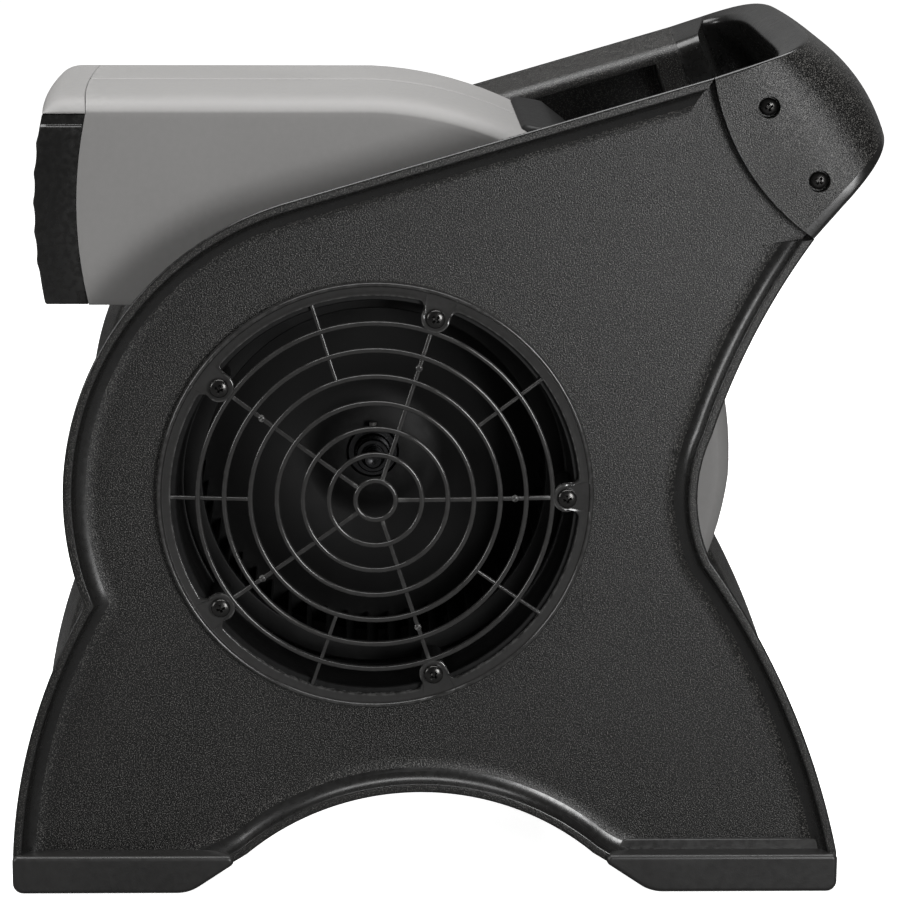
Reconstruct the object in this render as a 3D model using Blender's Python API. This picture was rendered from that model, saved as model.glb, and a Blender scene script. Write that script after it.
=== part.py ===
"""Pivoting utility air mover: a blower head that tilts between two moulded side frames.

Metres, +Z up. The air leaves the outlet towards -Y and the wheel's axle lies along X.
Every shape is drawn in the pivot frame: y to the rear and z up, both from the tilt axis,
and x outwards from the middle of the machine. Three empties on the axis place the bodies.
"""
import math

import bmesh
import bpy
from mathutils import Matrix, Vector

# ---------------------------------------------------------------- driving dimensions
PIVOT_HEIGHT = 0.244  # tilt axis above the floor
PIVOT_Y = -0.04215  # tilt axis ahead of the middle of the footprint
FLOOR = -PIVOT_HEIGHT  # the floor, seen from the axis
GAP = 0.0004  # clearance between neighbouring pieces
PILOT = 0.0024  # radius of the holes that the screws enter

FRAME_OUT = 0.140  # outer face of a side frame's rim
FRAME_IN = 0.100  # inner face of the rim
WEB_OUT = 0.130  # outer face of the recessed web
WEB_IN = 0.126  # inner face of the web
RIM_WALL = 0.005
BULGE_RADIUS = 0.1845  # round front of the frame, about the axis
TOP_SLOPE = math.radians(16.3)
NECK_ANGLE = math.radians(200.5)
FRAME_FOOT = (-0.2182, 0.2797)  # front and rear ends of the frame at the floor
FRONT_NECK = (BULGE_RADIUS * math.cos(NECK_ANGLE), BULGE_RADIUS * math.sin(NECK_ANGLE))
REAR_NECK = (0.1993, -0.0380)
REAR_BEND = (0.1980, 0.0380)
SEAM_TOP = (0.1948, 0.2497)  # where the handle meets the frame
SEAM_MIDDLE = (0.2145, 0.2050)
SEAM_BOTTOM = (0.2554, 0.1556)
FOOT_TOP = FLOOR + 0.024
FOOT_OUT = 0.144
FOOT_INNER = (-0.077, 0.135)  # ends of the arch
ARCH_APEX = (0.030, -0.1813)
FOOT_SLANT = 0.035
PAD_HEIGHT = 0.0015
HOLE_RADIUS = 0.1240  # round hole that turns on the head's collar

GRIP_TOP = (0.2545, 0.2695)
GRIP_MIDDLE = (0.2860, 0.2440)
GRIP_BOTTOM = (0.3025, 0.2110)
HANDLE_WALL = 0.012
HANDLE_BEND = 5.0  # exponent of the rounded U that the handle makes, seen from above
HANDLE_REACH_IN = 0.66  # inner skin's reach, as a share of the outer one
TONGUE = ((0.193, 0.222), (0.227, 0.172), (0.256, 0.172), (0.266, 0.192), (0.234, 0.242), (0.203, 0.241))
TONGUE_SPAN = (0.102, 0.114)  # the frame's tongue behind the handle, which takes its screws
HANDLE_SCREWS = ((0.2268, 0.2325), (0.2571, 0.1895))
HANDLE_RECESS = 0.007  # depth of the round recesses that hide its screws
RECESS_RADIUS = 0.0065
HANDLE_SCREW_HEAD = 0.0052
HANDLE_TURNS = 22  # steps of the handle from frame to frame, and across its band
HANDLE_ACROSS = 4
TIE_RADIUS = 0.008
TIE_PLACES = ((-0.185, -0.200), (0.238, -0.200))
TIE_END = 0.118

HEAD_HALF = 0.092  # half width of the blower head
HEAD_WALL = 0.003
CROWN = 0.0088  # the head's wrap stands this much higher in the middle
CROWN_POWER = 16  # flat on top, with a tight shoulder at each side
CROWN_STATIONS = (0.060, 0.078, 0.086)
OUTLET_TOP = 0.2233
OUTLET_BOTTOM = 0.108
SHELL_FRONT = -0.1703
BEZEL_FRONT = -0.1963
BEZEL_BOW = 0.0067  # the outlet grille is this much further forward at its middle
VISOR_FRONT = -0.1960
VISOR_BOW = 0.003
VISOR_DROP = 0.006  # the visor reaches this far below the outlet's top
SCROLL_FRONT = 0.130  # scroll radius at the front, the bottom, the rear and the top
SCROLL_BOTTOM = 0.168
SCROLL_REAR = 0.207
SCROLL_TOP = OUTLET_TOP
TONGUE_ANGLE = math.radians(142)
TONGUE_TURN = math.radians(2) / 0.003  # the tongue thickens by this turn per metre of wall
COLLAR_OUT = 0.1234  # the collar that each frame turns on
COLLAR_IN = 0.1180
COLLAR_THROAT = 0.1150
COLLAR_END = 0.1300

GRILLE_RINGS = (0.0118, 0.0274, 0.0428, 0.0582, 0.0739, 0.0893, 0.1050)
GRILLE_RING_WALL = 0.0030
GRILLE_FLANGE = (0.1212, 0.1298)
GRILLE_THICK = 0.0040
GRILLE_DOME = 0.008
SPOKE_WIDTH = 0.0030
BOSS_WIDTH = 0.0180
SPOKES = 10  # five full spokes and five short ones between them
SCREW_CIRCLE = 0.1135
INTAKE_SCREW_HEAD = 0.0058

WHEEL_RADIUS = 0.1160
WHEEL_BAND = 0.1040  # inner radius of the blade band
WHEEL_BLADES = 32
WHEEL_LAYERS = (-0.064, -0.059, 0.005, 0.009, 0.075, 0.080)
WHEEL_SWEEP = math.radians(-5)
HUB_RADIUS = 0.0160
SHAFT_RADIUS = 0.0060
MOTOR_RADIUS = 0.055
MOTOR_SPAN = (-0.073, -0.006)

PANEL_ANGLES = (math.radians(36), math.radians(67))
PANEL_HALF = 0.072
PANEL_RISE = 0.006
SOCKET_HALVES = (0.0165, 0.0150)
PANEL_LIP = 0.003  # its top end stands only this far above the wrap


# ---------------------------------------------------------------- plane geometry
def polar(radius, angle):
    return (radius * math.cos(angle), radius * math.sin(angle))


def arc_about(centre, radius, start, end, steps):
    """Points on an arc, from one angle to another."""
    angles = [start + (end - start) * i / steps for i in range(steps + 1)]
    return [(centre[0] + radius * math.cos(a), centre[1] + radius * math.sin(a)) for a in angles]


def arc_through(first, middle, last, steps):
    """Points on the arc from first to last that passes through middle."""
    (ax, ay), (bx, by), (cx, cy) = first, middle, last
    area = 2 * (ax * (by - cy) + bx * (cy - ay) + cx * (ay - by))
    a2, b2, c2 = ax * ax + ay * ay, bx * bx + by * by, cx * cx + cy * cy
    centre = (
        (a2 * (by - cy) + b2 * (cy - ay) + c2 * (ay - by)) / area,
        (a2 * (cx - bx) + b2 * (ax - cx) + c2 * (bx - ax)) / area,
    )
    radius = math.dist(centre, first)
    start = math.atan2(ay - centre[1], ax - centre[0])
    sweep = math.atan2(cy - centre[1], cx - centre[0]) - start
    turn = math.tau if area > 0 else -math.tau
    while sweep * turn < 0:
        sweep += turn
    while abs(sweep) > math.tau:
        sweep -= turn
    return arc_about(centre, radius, start, start + sweep, steps)


def inset(outline, distance):
    """Move each point of a counter-clockwise outline inwards."""
    moved = []
    for i, point in enumerate(outline):
        here = Vector(point)
        before = (here - Vector(outline[i - 1])).normalized()
        after = (Vector(outline[(i + 1) % len(outline)]) - here).normalized()
        normal = Vector((-before.y - after.y, before.x + after.x)).normalized()
        spread = max(0.5, normal.dot(Vector((-before.y, before.x))))
        moved.append(tuple(here + normal * distance / spread))
    return moved


# ---------------------------------------------------------------- scene and mesh helpers
def clear_scene():
    for thing in list(bpy.data.objects):
        bpy.data.objects.remove(thing, do_unlink=True)


def make_material(name, colour, roughness, metallic=0.0):
    material = bpy.data.materials.new(name)
    material.use_nodes = True
    shader = material.node_tree.nodes["Principled BSDF"]
    shader.inputs["Base Color"].default_value = (*colour, 1.0)
    shader.inputs["Roughness"].default_value = roughness
    shader.inputs["Metallic"].default_value = metallic
    material.diffuse_color = (*colour, 1.0)
    return material


def make_empty(name, location, parent=None):
    empty = bpy.data.objects.new(name, None)
    bpy.context.scene.collection.objects.link(empty)
    empty.location = location
    empty.parent = parent
    return empty


def make_object(name, points, faces, material, parent):
    """A closed mesh whose faces point outwards."""
    mesh = bpy.data.meshes.new(name)
    mesh.from_pydata([tuple(p) for p in points], [], faces)
    shape = bmesh.new()
    shape.from_mesh(mesh)
    bmesh.ops.recalc_face_normals(shape, faces=shape.faces)
    shape.to_mesh(mesh)
    shape.free()
    mesh.materials.append(material)
    thing = bpy.data.objects.new(name, mesh)
    bpy.context.scene.collection.objects.link(thing)
    thing.parent = parent
    return thing


def band(first, second, count, closed=True):
    """Quads between two equal rows of points."""
    last = count if closed else count - 1
    return [
        (first + i, first + (i + 1) % count, second + (i + 1) % count, second + i)
        for i in range(last)
    ]


def stack(name, rows, material, parent, caps=True):
    """A body through rows of points, each row a closed loop of the same length."""
    count = len(rows[0])
    points = [p for row in rows for p in row]
    faces = []
    for k in range(len(rows) - 1):
        faces += band(k * count, (k + 1) * count, count)
    if caps:
        faces.append(tuple(range(count)))
        faces.append(tuple((len(rows) - 1) * count + i for i in range(count)))
    else:
        faces += band((len(rows) - 1) * count, 0, count)
    return make_object(name, points, faces, material, parent)


def prism(name, outline, x_from, x_to, material, parent):
    rows = [[(x, y, z) for y, z in outline] for x in (x_from, x_to)]
    return stack(name, rows, material, parent)


def lathe(name, profile, segments, material, parent, place=Matrix.Identity(4)):
    """Turn (along, radius) pairs about local X. The profile closes on itself or on the axis."""
    points, rings, faces = [], [], []
    for along, radius in profile:
        turns = 1 if radius == 0 else segments
        rings.append((len(points), turns))
        for i in range(turns):
            y, z = polar(radius, math.tau * i / segments)
            points.append(place @ Vector((along, y, z)))
    solid = profile[0][1] == 0
    pairs = list(zip(rings, rings[1:] + ([] if solid else rings[:1])))
    for (first, first_turns), (second, second_turns) in pairs:
        for i in range(segments):
            j = (i + 1) % segments
            corners = [
                first + i % first_turns,
                first + j % first_turns,
                second + j % second_turns,
                second + i % second_turns,
            ]
            face = list(dict.fromkeys(corners))
            if len(face) > 2:
                faces.append(tuple(face))
    return make_object(name, points, faces, material, parent)


def lattice(name, counts, place, filled, material, parent, wrap=False):
    """The outer skin of the filled cells of a bent grid, as one closed body.

    counts gives the cells along i, j and k. place(i, j, k) gives a corner, filled(i, j, k) says
    whether a cell is solid, and wrap joins the last j to the first.
    """
    ni, nj, nk = counts
    corners = {}
    points, faces = [], []

    def solid(i, j, k):
        if wrap:
            j %= nj
        inside = 0 <= i < ni and 0 <= j < nj and 0 <= k < nk
        return inside and filled(i, j, k)

    def corner(i, j, k):
        key = (i, j % nj if wrap else j, k)
        if key not in corners:
            corners[key] = len(points)
            points.append(place(*key))
        return corners[key]

    for i in range(ni):
        for j in range(nj):
            for k in range(nk):
                if not solid(i, j, k):
                    continue
                for side in (0, 1):
                    step = 2 * side - 1
                    if not solid(i + step, j, k):
                        a = i + side
                        ring = ((a, j, k), (a, j + 1, k), (a, j + 1, k + 1), (a, j, k + 1))
                        faces.append(tuple(corner(*c) for c in ring))
                    if not solid(i, j + step, k):
                        b = j + side
                        ring = ((i, b, k), (i + 1, b, k), (i + 1, b, k + 1), (i, b, k + 1))
                        faces.append(tuple(corner(*c) for c in ring))
                    if not solid(i, j, k + step):
                        c = k + side
                        ring = ((i, j, c), (i + 1, j, c), (i + 1, j + 1, c), (i, j + 1, c))
                        faces.append(tuple(corner(*v) for v in ring))
    return make_object(name, points, faces, material, parent)


def add_boolean(target, tool, operation):
    modifier = target.modifiers.new(tool.name, "BOOLEAN")
    modifier.operation = operation
    modifier.solver = "EXACT"
    modifier.object = tool
    tool.hide_render = True
    tool.display_type = "WIRE"


def rod(name, start, end, radius, segments, material, parent):
    """A plain round bar between two points."""
    start, end = Vector(start), Vector(end)
    place = Matrix.Translation(start) @ (end - start).to_track_quat("X", "Z").to_matrix().to_4x4()
    length = (end - start).length
    profile = [(0, 0), (0, radius), (length, radius), (length, 0)]
    return lathe(name, profile, segments, material, parent, place)


def screw(name, seat, outward, head_radius, shank, material, parent):
    """A pan-head screw whose head sits on seat, with its shank going in."""
    place = Matrix.Translation(seat) @ Vector(outward).to_track_quat("X", "Z").to_matrix().to_4x4()
    height = head_radius * 0.6
    profile = [
        (-shank, 0),
        (-shank, 0.0020),
        (0, 0.0020),
        (0, head_radius),
        (height * 0.6, head_radius * 0.9),
        (height, head_radius * 0.5),
        (height, 0),
    ]
    return lathe(name, profile, 10, material, parent, place)


# ---------------------------------------------------------------- materials
clear_scene()
BLACK = make_material("black_plastic", (0.020, 0.020, 0.021), 0.45)
GREY = make_material("grey_plastic", (0.25, 0.247, 0.243), 0.50)
OXIDE = make_material("black_oxide_steel", (0.020, 0.020, 0.022), 0.30, 1.0)
STEEL = make_material("bright_steel", (0.55, 0.55, 0.56), 0.30, 1.0)
MOTOR = make_material("motor_paint", (0.05, 0.05, 0.055), 0.40)
RUBBER = make_material("black_rubber", (0.015, 0.015, 0.015), 0.85)
RED = make_material("red_plastic", (0.45, 0.02, 0.02), 0.35)

AXIS = (0, PIVOT_Y, PIVOT_HEIGHT)
stand = make_empty("stand", AXIS)
head = make_empty("head_pivot", AXIS)
wheel = make_empty("wheel_axis", (0, 0, 0), head)


# ---------------------------------------------------------------- stand
def seam_line(offset=0.0, steps=8):
    """The curve where frame and handle meet, from its lower to its upper end."""
    ends = (SEAM_BOTTOM, SEAM_MIDDLE, SEAM_TOP)
    across = Vector((SEAM_MIDDLE[0] - 0.26, SEAM_MIDDLE[1] - 0.24)).normalized() * offset
    first, middle, last = [(y + across.x, z + across.y) for y, z in ends]
    return arc_through(first, middle, last, steps)


def frame_outline():
    """The side frame above its feet, counter-clockwise from the front foot."""
    front, rear = FRAME_FOOT
    tangent = math.radians(90) + TOP_SLOPE
    outline = [(front, FOOT_TOP)]
    arch = [(FOOT_INNER[0], FOOT_TOP), ARCH_APEX, (FOOT_INNER[1], FOOT_TOP)]
    outline += arc_through(*arch, 16)
    outline += arc_through((rear, FOOT_TOP), (0.2479, -0.1230), REAR_NECK, 10)
    outline += arc_through(REAR_NECK, (0.1905, -0.0010), REAR_BEND, 6)[1:]
    outline += arc_through(REAR_BEND, (0.2205, 0.0960), SEAM_BOTTOM, 8)[1:]
    outline += seam_line(GAP)[1:]
    outline += arc_about((0, 0), BULGE_RADIUS, tangent, NECK_ANGLE, 18)
    outline += arc_through(FRONT_NECK, (-0.2034, -0.1360), (front, FOOT_TOP), 10)[1:-1]
    return outline


def foot_outline(front):
    """One foot, seen from the side, with its slanted inner end."""
    top = FOOT_TOP + 0.002
    bottom = FLOOR + PAD_HEIGHT
    chamfer = 0.004
    outer = FRAME_FOOT[0] if front else FRAME_FOOT[1]
    inner = FOOT_INNER[0] if front else FOOT_INNER[1]
    inward = 1 if front else -1
    points = [
        (outer, top),
        (outer, bottom + chamfer),
        (outer + inward * chamfer, bottom),
        (inner - inward * FOOT_SLANT, bottom),
        (inner, FOOT_TOP - GAP),
        (inner, top),
    ]
    return points if front else points[::-1]


def build_frame(name, side):
    """A moulded frame: a web recessed between two rims, on two feet."""
    outline = frame_outline()
    inner = inset(outline, RIM_WALL)
    levels = [
        (inner, WEB_IN),
        (inner, FRAME_IN),
        (outline, FRAME_IN),
        (outline, FRAME_OUT),
        (inner, FRAME_OUT),
        (inner, WEB_OUT),
    ]
    rows = [[(side * x, y, z) for y, z in loop] for loop, x in levels]
    frame = stack(name, rows, BLACK, stand)
    for place in ("front", "rear"):
        outline = foot_outline(place == "front")
        tool = prism(f"{name}_{place}_foot", outline, side * FRAME_IN, side * FOOT_OUT, BLACK, stand)
        add_boolean(frame, tool, "UNION")
    tool = prism(f"{name}_tongue", TONGUE, side * TONGUE_SPAN[0], side * TONGUE_SPAN[1], BLACK, stand)
    add_boolean(frame, tool, "UNION")
    hole = [(side * 0.090, 0), (side * 0.090, HOLE_RADIUS), (side * 0.150, HOLE_RADIUS), (side * 0.150, 0)]
    add_boolean(frame, lathe(f"{name}_hole", hole, 40, BLACK, stand), "DIFFERENCE")
    for i, (y, z) in enumerate(HANDLE_SCREWS):
        start, end = (side * 0.098, y, z), (side * 0.130, y, z)
        tool = rod(f"{name}_pilot_{i}", start, end, PILOT, 8, BLACK, stand)
        add_boolean(frame, tool, "DIFFERENCE")
    for i, (y, z) in enumerate(TIE_PLACES):
        start, end = (side * (FRAME_IN - 0.002), y, z), (side * TIE_END, y, z)
        tool = rod(f"{name}_socket_{i}", start, end, TIE_RADIUS + GAP, 16, BLACK, stand)
        add_boolean(frame, tool, "DIFFERENCE")
    return frame


def handle_point(turn, seam, grip, inner):
    """A point of the handle's skin, between its ends at the seam and the middle of its grip.

    turn runs 0 to 1 from one frame to the other.
    """
    angle = math.pi * turn
    power = 2 / HANDLE_BEND
    reach = abs(math.sin(angle)) ** power
    x = math.copysign(abs(math.cos(angle)) ** power, math.cos(angle))
    width = FRAME_OUT - (HANDLE_WALL if inner else 0)
    if inner:
        reach *= HANDLE_REACH_IN
    y = seam[0] + (grip[0] - seam[0]) * reach
    z = seam[1] + (grip[1] - seam[1]) * reach
    return (x * width, y, z)


def build_handle():
    """The carry handle: a broad band that wraps round the rear from frame to frame."""
    seam = seam_line(-GAP, HANDLE_ACROSS)
    grip = arc_through(GRIP_BOTTOM, GRIP_MIDDLE, GRIP_TOP, HANDLE_ACROSS)

    def place(i, j, k):
        return handle_point(i / HANDLE_TURNS, seam[j], grip[j], k == 0)

    counts = (HANDLE_TURNS, HANDLE_ACROSS, 1)
    handle = lattice("carry_handle", counts, place, lambda i, j, k: True, BLACK, stand)
    for side, label in ((1, "left"), (-1, "right")):
        for i, (y, z) in enumerate(HANDLE_SCREWS):
            start, end = (side * (FRAME_OUT - HANDLE_RECESS), y, z), (side * 0.150, y, z)
            recess = rod(f"recess_{label}_{i}", start, end, RECESS_RADIUS, 12, BLACK, stand)
            add_boolean(handle, recess, "DIFFERENCE")
            start, end = (side * 0.115, y, z), (side * 0.140, y, z)
            bore = rod(f"bore_{label}_{i}", start, end, PILOT, 8, BLACK, stand)
            add_boolean(handle, bore, "DIFFERENCE")
            seat = (side * (FRAME_OUT - HANDLE_RECESS + GAP), y, z)
            label_here = f"handle_screw_{label}_{i + 1}"
            screw(label_here, seat, (side, 0, 0), HANDLE_SCREW_HEAD, 0.027, OXIDE, stand)
    return handle


def build_stand():
    build_frame("side_frame_left", 1)
    build_frame("side_frame_right", -1)
    build_handle()
    for label, (y, z) in zip(("front", "rear"), TIE_PLACES):
        reach = TIE_END - GAP
        rod(f"cross_tube_{label}", (-reach, y, z), (reach, y, z), TIE_RADIUS, 16, STEEL, stand)
    for side, label in ((1, "left"), (-1, "right")):
        for place, centre in (("front", -0.165), ("rear", 0.224)):
            outline = [
                (centre - 0.035, FLOOR),
                (centre + 0.035, FLOOR),
                (centre + 0.035, FLOOR + PAD_HEIGHT - GAP / 4),
                (centre - 0.035, FLOOR + PAD_HEIGHT - GAP / 4),
            ]
            prism(f"foot_pad_{label}_{place}", outline, side * 0.106, side * 0.138, RUBBER, stand)


# ---------------------------------------------------------------- head
def scroll_radius(angle):
    """Radius of the head's wrap: angle 0 is the rear, and -180 degrees is the front."""
    if angle > 0:
        share = min(angle / math.radians(90), 1)
        return SCROLL_REAR + (SCROLL_TOP - SCROLL_REAR) * share
    share = -angle / math.radians(90)
    if share < 1:
        return SCROLL_REAR + (SCROLL_BOTTOM - SCROLL_REAR) * share
    share = min(share - 1, 1)
    return SCROLL_BOTTOM + (SCROLL_FRONT - SCROLL_BOTTOM) * share


def crown(x):
    return CROWN * (1 - abs(x / HEAD_HALF) ** CROWN_POWER)


def head_outline(lift, shrink, front):
    """The head from the side, counter-clockwise, at one crown height and one wall depth."""
    top = OUTLET_TOP + lift - shrink
    bottom = OUTLET_BOTTOM + shrink
    tongue = TONGUE_ANGLE - shrink * TONGUE_TURN
    outline = []
    steps = 34
    for i in range(steps + 1):
        angle = tongue - math.tau + (math.radians(90) + math.tau - tongue) * i / steps
        fade = min(1, max(0, 1 + (angle + math.radians(90)) / math.radians(60)))
        outline.append(polar(scroll_radius(angle) + lift * fade - shrink, angle))
    outline += [(-0.060, top), (-0.120, top), (front, top), (front, bottom)]
    outline.append((-0.125 + shrink, bottom))
    return outline


def build_shell(name, side):
    """Half of the scroll housing, split on the middle plane, with its round inlet."""
    stations = (GAP / 2, *CROWN_STATIONS, HEAD_HALF)
    rows = []
    for x in stations:
        outline = head_outline(crown(x), 0, SHELL_FRONT)
        rows.append([(side * x, y, z) for y, z in outline])
    shell = stack(name, rows, GREY, head)
    rows = []
    for x in (-0.010, *CROWN_STATIONS, HEAD_HALF - HEAD_WALL):
        outline = head_outline(crown(max(x, 0)), HEAD_WALL, -0.200)
        rows.append([(side * x, y, z) for y, z in outline])
    add_boolean(shell, stack(f"{name}_hollow", rows, GREY, head), "DIFFERENCE")
    radius = COLLAR_IN + GAP
    bore = [(side * 0.080, 0), (side * 0.080, radius), (side * 0.095, radius), (side * 0.095, 0)]
    add_boolean(shell, lathe(f"{name}_inlet", bore, 40, GREY, head), "DIFFERENCE")


def build_collar(name, side):
    """Black inlet collar: the air's bell mouth, and the trunnion that the frame turns on."""
    base = HEAD_HALF + GAP
    profile = [
        (HEAD_HALF - HEAD_WALL, COLLAR_THROAT),
        (HEAD_HALF - HEAD_WALL, COLLAR_IN),
        (base, COLLAR_IN),
        (base, COLLAR_OUT),
        (COLLAR_END, COLLAR_OUT),
        (COLLAR_END, COLLAR_IN),
        (HEAD_HALF + 0.012, COLLAR_IN),
    ]
    profile = [(side * x, radius) for x, radius in profile]
    collar = lathe(name, profile, 40, BLACK, head)
    for i in range(SPOKES // 2):
        y, z = polar(SCREW_CIRCLE + 0.001, math.tau * i / (SPOKES // 2))
        start, end = (side * (base + 0.001), y, z), (side * (COLLAR_END - GAP), y, z)
        add_boolean(collar, rod(f"{name}_post_{i}", start, end, 0.0062, 10, BLACK, head), "UNION")
    for i in range(SPOKES // 2):
        y, z = polar(SCREW_CIRCLE, math.tau * i / (SPOKES // 2))
        start, end = (side * 0.108, y, z), (side * 0.140, y, z)
        add_boolean(collar, rod(f"{name}_pilot_{i}", start, end, PILOT, 8, BLACK, head), "DIFFERENCE")


def build_grille(name, side):
    """Round intake grille: rings and spokes inside a screwed flange."""
    edges = []
    for radius in GRILLE_RINGS:
        edges += [radius - GRILLE_RING_WALL / 2, radius + GRILLE_RING_WALL / 2]
    edges += list(GRILLE_FLANGE)
    per_spoke = 3

    def place(i, j, k):
        radius = edges[i]
        spoke, part = divmod(j, per_spoke)
        full = spoke % 2 == 0
        wide = full and i >= len(edges) - 3
        half = math.asin((BOSS_WIDTH if wide else SPOKE_WIDTH) / 2 / max(radius, SPOKE_WIDTH * 1.2))
        half = min(half, math.radians(14))
        pitch = math.tau / SPOKES
        offset = (-half, half, pitch / 2)[part]
        y, z = polar(radius, spoke * pitch + offset)
        dome = GRILLE_DOME * (1 - (radius / GRILLE_FLANGE[0]) ** 2) if radius < GRILLE_FLANGE[0] else 0
        x = COLLAR_END + GAP + dome + GRILLE_THICK * k
        return (side * x, y, z)

    def filled(i, j, k):
        if i % 2 == 0:
            return True
        spoke, part = divmod(j, per_spoke)
        return part == 0 and (spoke % 2 == 0 or i >= 9)

    counts = (len(edges) - 1, SPOKES * per_spoke, 1)
    grille = lattice(name, counts, place, filled, BLACK, head, wrap=True)
    for i in range(SPOKES // 2):
        y, z = polar(SCREW_CIRCLE, math.tau * i / (SPOKES // 2))
        start, end = (side * 0.120, y, z), (side * 0.145, y, z)
        add_boolean(grille, rod(f"{name}_hole_{i}", start, end, PILOT, 8, BLACK, head), "DIFFERENCE")
        dome = GRILLE_DOME * (1 - ((SCREW_CIRCLE - 0.0085) / GRILLE_FLANGE[0]) ** 2)
        seat = (side * (COLLAR_END + GRILLE_THICK + dome + 2 * GAP), y, z)
        label = name.replace("intake_grille", "intake_screw")
        screw(f"{label}_{i + 1}", seat, (side, 0, 0), INTAKE_SCREW_HEAD, 0.018, OXIDE, head)
    return grille


def build_visor():
    """Grey hood over the outlet, which carries the crown forward to a rounded nose."""
    back = SHELL_FRONT - GAP
    nose = [(VISOR_FRONT + 0.008, 1), (VISOR_FRONT + 0.002, 0.62), (VISOR_FRONT, 0.2), (VISOR_FRONT, 0)]
    half = [*CROWN_STATIONS, HEAD_HALF]
    base = OUTLET_TOP - VISOR_DROP
    rows = []
    for x in [-x for x in half[::-1]] + [0] + half:
        height = VISOR_DROP + crown(x)
        bow = VISOR_BOW * (1 - (x / HEAD_HALF) ** 2)
        row = [(x, back, base), (x, back, base + height)]
        rows.append(row + [(x, y - bow, base + height * share) for y, share in nose])
    stack("outlet_visor", rows, GREY, head)


def build_bezel():
    """Black outlet grille: a deep frame with bars across it and ribs between them."""
    wall = 0.004
    low, high = OUTLET_BOTTOM, OUTLET_TOP - VISOR_DROP - GAP
    bars, ribs = 5, 3
    xs = [-HEAD_HALF, -HEAD_HALF + wall]
    for i in range(ribs):
        middle = -HEAD_HALF + (i + 1) * 2 * HEAD_HALF / (ribs + 1)
        xs += [middle - 0.0015, middle + 0.0015]
    xs += [HEAD_HALF - wall, HEAD_HALF]
    zs = [low, low + wall]
    for i in range(bars):
        middle = low + (i + 1) * (high - low) / (bars + 1)
        zs += [middle - 0.0015, middle + 0.0015]
    zs += [high - wall, high]
    middle_z = (low + high) / 2

    def place(i, j, k):
        bow = 1 - ((zs[j] - middle_z) / (high - low) * 2) ** 2
        y = SHELL_FRONT - GAP if k == 0 else BEZEL_FRONT - BEZEL_BOW * bow
        if k == 0 and 0 < i < len(xs) - 1 and 0 < j < len(zs) - 1:
            y = SHELL_FRONT - 0.010
        return (xs[i], y, zs[j])

    counts = (len(xs) - 1, len(zs) - 1, 1)
    lattice("outlet_grille", counts, place, lambda i, j, k: i % 2 == 0 or j % 2 == 0, BLACK, head)


def panel_frame():
    """Middle of the control panel's outer face, and its outward and downhill directions."""
    middle = sum(PANEL_ANGLES) / 2
    radius = scroll_radius(middle) + CROWN + PANEL_RISE
    outward = Vector((0, *polar(1, middle)))
    downhill = Vector((0, *polar(1, middle - math.radians(90))))
    return outward * radius, outward, downhill


def build_panel():
    """Control panel: its underside follows the wrap, and its face is flat."""
    centre, outward, downhill = panel_frame()
    xs = [-PANEL_HALF, -0.050, -0.025, 0, 0.025, 0.050, PANEL_HALF]
    turns = 6

    def place(i, j, k):
        angle = PANEL_ANGLES[0] + (PANEL_ANGLES[1] - PANEL_ANGLES[0]) * j / turns
        ray = Vector((0, *polar(1, angle)))
        under = scroll_radius(angle) + crown(xs[i]) + GAP
        face = centre.length / ray.dot(outward)
        if j == turns:
            face = min(face, under + PANEL_LIP)
        point = ray * (under if k == 0 else face)
        point.x = xs[i]
        return point

    panel = lattice("control_panel", (len(xs) - 1, turns, 1), place, lambda i, j, k: True, BLACK, head)
    knob_at = centre + Vector((-0.040, 0, 0)) + downhill * 0.004
    button_at = centre + Vector((0.004, 0, 0)) + downhill * 0.020
    tool = rod("knob_bore", knob_at - outward * 0.004, knob_at + outward * 0.01, 0.0052, 12, BLACK, head)
    add_boolean(panel, tool, "DIFFERENCE")
    start, end = button_at - outward * 0.0045, button_at + outward * 0.01
    tool = rod("button_bore", start, end, 0.0054, 12, BLACK, head)
    add_boolean(panel, tool, "DIFFERENCE")
    for i, shift in enumerate((-0.018, 0.024)):
        middle = centre + Vector((0.042, 0, 0)) + downhill * shift
        socket = face_block(f"receptacle_{i + 1}", middle, SOCKET_HALVES, (-0.0035, 0.0020), head)
        bay = [half + 0.0003 for half in SOCKET_HALVES]
        tool = face_block(f"receptacle_bay_{i + 1}", middle, bay, (-0.0039, 0.0100), head)
        socket.data.materials[0] = MOTOR
        add_boolean(panel, tool, "DIFFERENCE")
    return knob_at, button_at, outward, downhill


def face_block(name, middle, halves, depths, parent):
    """A block on the control panel, given by half sizes and depths along its outward axis."""
    centre, outward, downhill = panel_frame()
    rows = []
    for depth in depths:
        row = []
        for across, down in ((-1, -1), (1, -1), (1, 1), (-1, 1)):
            shift = Vector((halves[0] * across, 0, 0)) + downhill * halves[1] * down
            row.append(middle + shift + outward * depth)
        rows.append(row)
    return stack(name, rows, BLACK, parent)


def build_controls(knob_at, button_at, outward):
    """The speed knob and the reset button, each with its origin on its own axis."""
    turn = outward.to_track_quat("X", "Z")
    knob = make_empty("speed_knob_axis", knob_at, head)
    knob.rotation_euler = turn.to_euler()
    stem, skirt = 0.0046, 0.0170
    profile = [(-0.0036, 0), (-0.0036, stem), (0.0008, stem), (0.0008, skirt), (0.0060, skirt - 0.0005)]
    profile += [(0.0170, 0.0135), (0.0180, 0.0120), (0.0180, 0)]
    lathe("speed_knob", profile, 24, BLACK, knob)
    button = make_empty("reset_button_axis", button_at, head)
    button.rotation_euler = turn.to_euler()
    cap = [(-0.0010, 0), (-0.0010, 0.0050), (0.0050, 0.0050), (0.0062, 0.0040), (0.0062, 0)]
    lathe("reset_button", cap, 16, RED, button)


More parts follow.
